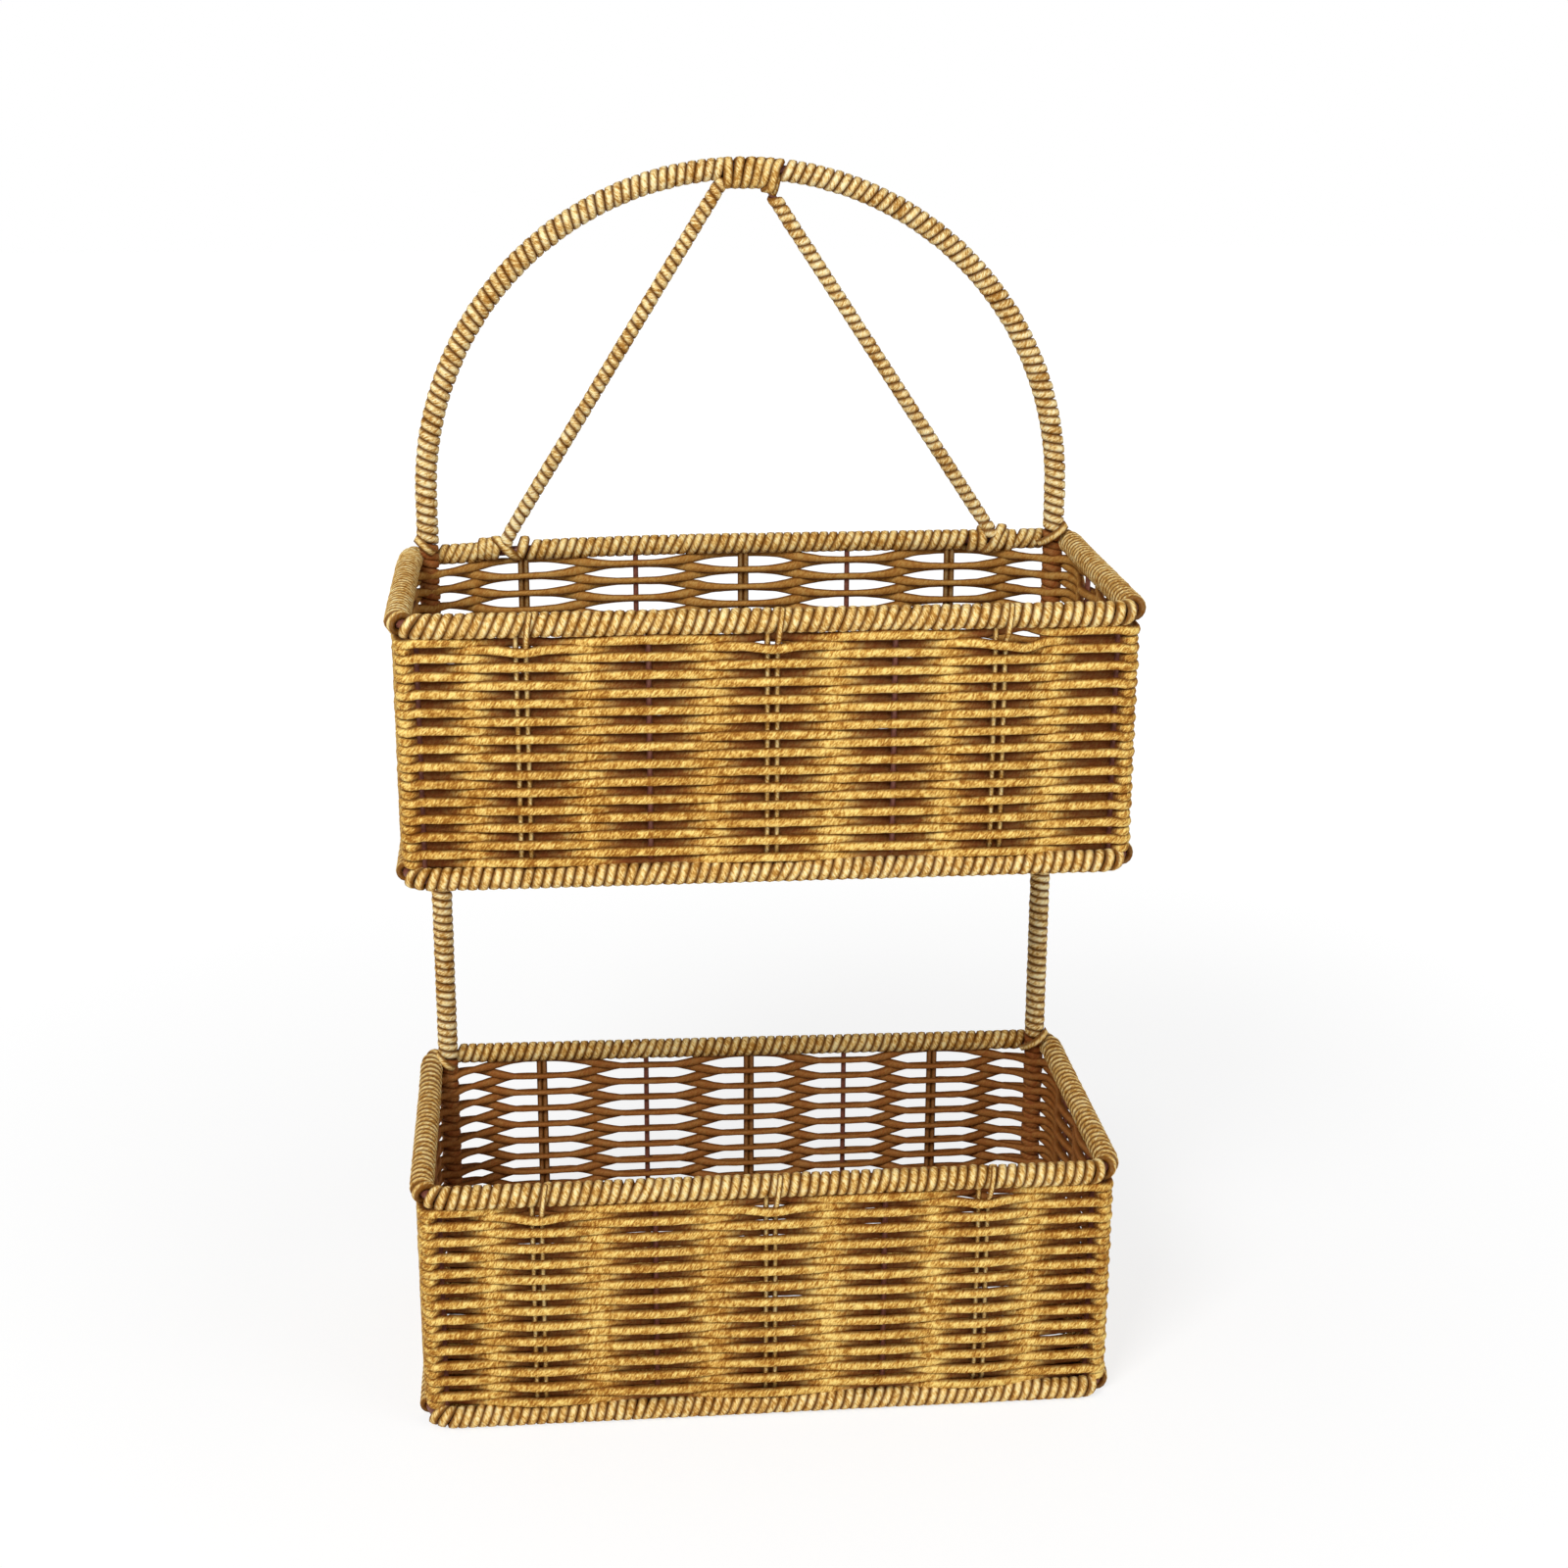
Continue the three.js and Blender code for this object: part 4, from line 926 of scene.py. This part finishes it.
ROWS = 26
WEAVER_WIDTH, WEAVER_THICKNESS = 4.9 * mm, 4.2 * mm
LEG_TURN_COVER, LEG_TURN_PITCH, LEG_TURN_LEAN = 11 * mm, 4.2 * mm, 0.1
for basket, rim_level in levels.items():
    wall_top = rim_level - RIM_COVER / 2 - 2.4 * mm
    wall_bottom = rim_level - BASKET_HEIGHT + BASE_COVER / 2 + 0.5 * mm
    stops = stops_of(basket)
    marks = {
        label: [between_stakes(stops, d, item) for d in travelled]
        for item, label in enumerate(("phase", "reach", "shift"), 1)
    }
    marks["dip"] = [near_pairs(basket, p) for p in outline]
    marks["lift"] = [pulled_up(basket, p) for p in outline]
    marks["fullness"] = [fullness_at(basket, p, phase) for p, phase in zip(outline, marks["phase"])]
    sizes = {
        "Rounds": float(ROWS),
        "Top": wall_top,
        "Drop": (wall_top - wall_bottom) / (ROWS - 1),
        "Half Turns": float(HALF_TURNS),
        "Cord Width": WEAVER_WIDTH,
        "Cord Thickness": WEAVER_THICKNESS,
        "Slide": 1.2 * mm,
        "Unevenness": 0.9 * mm,
        "Step": 2.5 * mm,
        "Seed": 1.0 if basket == "upper" else 2.0,
        "Material": woven_cord,
    }
    weaver = grow(drawn_line(f"{basket}_weaver", [outline], **marks), weave_tree, sizes)
    settle(weaver, "woven_cord", f"{basket}_woven_wall")
    for side_name, sx in SIDES:
        leg = [Vector((sx * LEG_X, LEG_Y, z)) for z in (wall_bottom, rim_level + 5.5 * mm)]
        name = f"{basket}_leg_turns_{side_name}"
        # The leg turns are painted in full shade: the last value, shaded 1.0, darkens them like strands
        # behind others.
        turns = (LEG_TURN_COVER, LEG_TURN_PITCH, LEG_TURN_LEAN, FRONTWARD, FRAME_WIRE, woven_cord, 1.0)
        settle(wound(name, leg, *turns), "woven_cord")


# Woven floors: the same paper cord runs to and fro between the ends, over one stake and under the next.
# Its runs go out to the base ring, the outermost ones stop short of the ring's bends, and two places are
# left for the single cross wires.
FLOOR_PITCH, FLOOR_RUNS, CROSS_ROOM = 3.9 * mm, 20, 3 * mm
FLOOR_END, OUTERMOST_END, OUTERMOST_Y = 168.5 * mm, 160 * mm, 76 * mm
FLOOR_CORD = 4.3 * mm, 3.6 * mm
FLOOR_DROP, FLOOR_SWING, STAKE_SPACING = 1.4 * mm, 2.4 * mm, 58 * mm
runs = [i * FLOOR_PITCH for i in range(-FLOOR_RUNS, FLOOR_RUNS + 1)]
runs = [run for run in runs if min(abs(run - y) for y in SIDE_WIRE_Y) > CROSS_ROOM]
for basket, rim_level in levels.items():
    level = rim_level - BASKET_HEIGHT - FLOOR_DROP
    route = []
    for row, y in enumerate(runs):
        half = OUTERMOST_END if abs(y) > OUTERMOST_Y else FLOOR_END
        count = round(2 * half / ROUTE_STEP)
        xs = [-half + 2 * half * i / count for i in range(count + 1)]
        for x in reversed(xs) if row % 2 else xs:
            over = FLOOR_SWING * math.cos(math.pi * (x / STAKE_SPACING + row))
            route.append(Vector((x, y, level + over)))
    weave = swept(f"{basket}_floor_weave", [route], UP, FLOOR_CORD, woven_cord)
    settle(weave, "woven_cord", f"{basket}_woven_floor")


# Crown lashing: six turns of paper cord tie the top of the brace up under the arch, the first one steep
# and each next one leaning a little more. The last end hangs down a little behind the brace's corner.
LASH_TOPS = (-8.0, -1.8, 4.0, 8.9, 13.6, 18.5)
LASH_BOTTOMS = (-8.5, -4.6, -0.4, 4.0, 7.4, 10.6)
LASH_CORD, LASH_REACH = (4.9 * mm, 3.5 * mm), 4.1 * mm
LAST_END = ((17.2, 1.0, 3.0), (16.4, -1.5, 0.5), (15.7, -2.6, -2.5), (14.9, -2.2, -5.8), (13.8, 0.0, -8.6))
LAST_CUT = 7
CORNER_FALL = 0.9
lashed = {"step": CLOSE_STEP, "flat": PULLED_TIGHT, "uneven": WOUND_UNEVENNESS}


def lashing_turn(top, bottom, next_top):
    """Sixteen places of one turn, from its top over the front and up the back: the angle, how far along
    the bars it is, and the way out from their middle."""
    for i in range(STEPS_PER_TURN):
        angle = math.pi / 2 - 2 * math.pi * i / STEPS_PER_TURN
        share = (1 - math.cos(math.pi * (i % 8) / 8)) / 2
        along = top + (bottom - top) * share if i < 8 else bottom + (next_top - bottom) * share
        yield angle, along, Vector((0, -math.cos(angle), math.sin(angle)))


brace_z = UPPER_RIM + TOP_RISE * math.cos(BRACE_LEAN)
route, spokes = [], []
for ends in zip(LASH_TOPS, LASH_BOTTOMS, (*LASH_TOPS[1:], LASH_TOPS[-1] + 3)):
    for angle, x, spoke in lashing_turn(*ends):
        x = x * mm
        arch_z = ARCH_SPRING + math.sqrt(LEG_X**2 - x**2)
        low_z = brace_z - CORNER_FALL * max(0.0, x - BRACE_TOP[1])
        centre_z = arch_z if math.sin(angle) > 0.01 else low_z
        if abs(math.sin(angle)) <= 0.01:
            centre_z = (arch_z + low_z) / 2
        route.append(Vector((x, LEG_Y, centre_z)) + spoke * LASH_REACH)
        spokes.append(spoke)
last_end = [Vector((x * mm, LEG_Y + y * mm, brace_z + z * mm)) for x, y, z in LAST_END]
routes = [route[:-LAST_CUT], last_end]
spokes = spokes[:-LAST_CUT] + [FRONTWARD] * len(last_end)
crown_turns = swept("crown_lashing_turns", routes, spokes, LASH_CORD, wound_cord, **lashed)
settle(crown_turns, "paper_cord", "crown_lashing")


# Foot lashings: one paper cord binds each foot of the brace onto the back rim. Two of its turns cross the
# rim's front on the slant, and the others fill up the rim's winding on both sides.
# Each turn has its top, its bottom, how much it goes over the foot and how far it stands out in front.
FOOT_LASHINGS = {
    "left": (
        (-11.6, -13.0, 0, 0),
        (-7.6, -9.4, 0, 0),
        (-3.8, -6.2, 0, 0),
        (-5.2, 7.4, 0.3, 1.6),
        (10.2, 7.0, 0, 0.4),
    ),
    "right": (
        (10.9, 8.4, 0, 0),
        (7.2, 1.4, 0.2, 0.9),
        (5.6, -4.8, 1, 2.2),
        (-5.0, -5.8, 0, 0),
        (-9.8, -11.2, 0, 0),
    ),
}
FOOT_CORD, FOOT_REACH, OVER_FOOT = (5.2 * mm, 3.2 * mm), 4.45, 3 * mm
for (side_name, bindings), foot_x in zip(FOOT_LASHINGS.items(), BRACE_FEET):
    route, spokes = [], []
    for binding, following in zip(bindings, bindings[1:] + bindings[-1:]):
        top, bottom, over_foot, proud = binding
        for angle, x, spoke in lashing_turn(top, bottom, following[0]):
            lift = over_foot * OVER_FOOT * max(0.0, math.sin(angle)) ** 0.5
            stand = (FOOT_REACH + proud * max(0.0, math.cos(angle))) * mm
            route.append(Vector((foot_x + x * mm, HALF_DEPTH, UPPER_RIM + lift)) + spoke * stand)
            spokes.append(spoke)
    name = f"foot_lashing_{side_name}"
    foot_turns = swept(f"{name}_turns", [route], spokes, FOOT_CORD, wound_cord, **lashed)
    settle(foot_turns, "paper_cord", name)


# Stage: a pale floor under the lower basket, a white world, two soft lamps and the photograph's
# viewpoint. None of it is part of the shelf.
FLOOR_REACH = 6.0
WHITE, PALE = (1, 1, 1, 1), (0.9, 0.9, 0.9, 1)
floor_mesh = bpy.data.meshes.new("floor")
floor_corners = [(x * FLOOR_REACH, y * FLOOR_REACH, 0) for x, y in ((-1, -1), (1, -1), (1, 1), (-1, 1))]
floor_mesh.from_pydata(floor_corners, [], [(0, 1, 2, 3)])
floor = add_object("floor", floor_mesh)
floor_paint, tree = material("pale floor")
lit = add_node(tree, "ShaderNodeBsdfDiffuse", {}, {"Color": PALE})
glow = add_node(tree, "ShaderNodeEmission", {}, {"Color": WHITE, "Strength": 1.08})
seen = add_node(tree, "ShaderNodeLightPath", output="Is Camera Ray")
away = vector_math(tree, "LENGTH", object_place(tree))
far = add_node(tree, "ShaderNodeMapRange", {}, {"Value": away, "From Min": 0.3, "From Max": 1.2})
blend = add_node(tree, "ShaderNodeMixShader", {}, {0: seen * (far * 0.3 + 0.7), 1: lit, 2: glow})
add_node(tree, "ShaderNodeOutputMaterial", {}, {"Surface": blend})
floor_mesh.materials.append(floor_paint)

world = bpy.data.worlds.new("studio")
bpy.context.scene.world = world
world.use_nodes = True
tree = world.node_tree
tree.nodes.clear()
strength = add_node(tree, "ShaderNodeLightPath", output="Is Camera Ray") * 0.6 + 0.4
background = add_node(tree, "ShaderNodeBackground", {}, {"Color": WHITE, "Strength": strength})
add_node(tree, "ShaderNodeOutputWorld", {}, {"Surface": background})


def lamp(name, place, aim, size, power):
    light = bpy.data.lights.new(name, "AREA")
    light.size = size
    light.energy = power
    holder = add_object(name, light)
    holder.location = place
    holder.rotation_euler = (Vector(aim) - Vector(place)).to_track_quat("-Z", "Y").to_euler()


lamp("key", (-0.9, -1.6, 1.7), (0, 0, 0.3), 0.8, 35)
lamp("fill", (1.4, -1.3, 0.9), (0, 0, 0.3), 1.2, 9)

FOCAL_PIXELS, FRAME_PIXELS = 2547.28, 1600
YAW, PITCH, ROLL = (math.radians(a) for a in (5.6538, 17.5775, 0.2542))
camera_data = bpy.data.cameras.new("camera")
camera_data.sensor_width = 36
camera_data.lens = 36 * FOCAL_PIXELS / FRAME_PIXELS
camera_data.clip_end = 50
camera = add_object("camera", camera_data)
ahead = Vector((math.sin(YAW), math.cos(YAW), 0))
right = Vector((math.cos(YAW), -math.sin(YAW), 0))
sight = math.cos(PITCH) * ahead - math.sin(PITCH) * UP
over = math.cos(PITCH) * UP + math.sin(PITCH) * ahead
right_rolled = math.cos(ROLL) * right + math.sin(ROLL) * over
over_rolled = math.cos(ROLL) * over - math.sin(ROLL) * right
turn = Matrix((right_rolled, over_rolled, -sight)).transposed().to_4x4()
eye = Vector((-105.8 * mm, HALF_DEPTH - 1294.6 * mm, UPPER_RIM + 278.4 * mm))
camera.matrix_world = Matrix.Translation(eye) @ turn
bpy.context.scene.camera = camera
bpy.context.scene.view_settings.view_transform = "Standard"
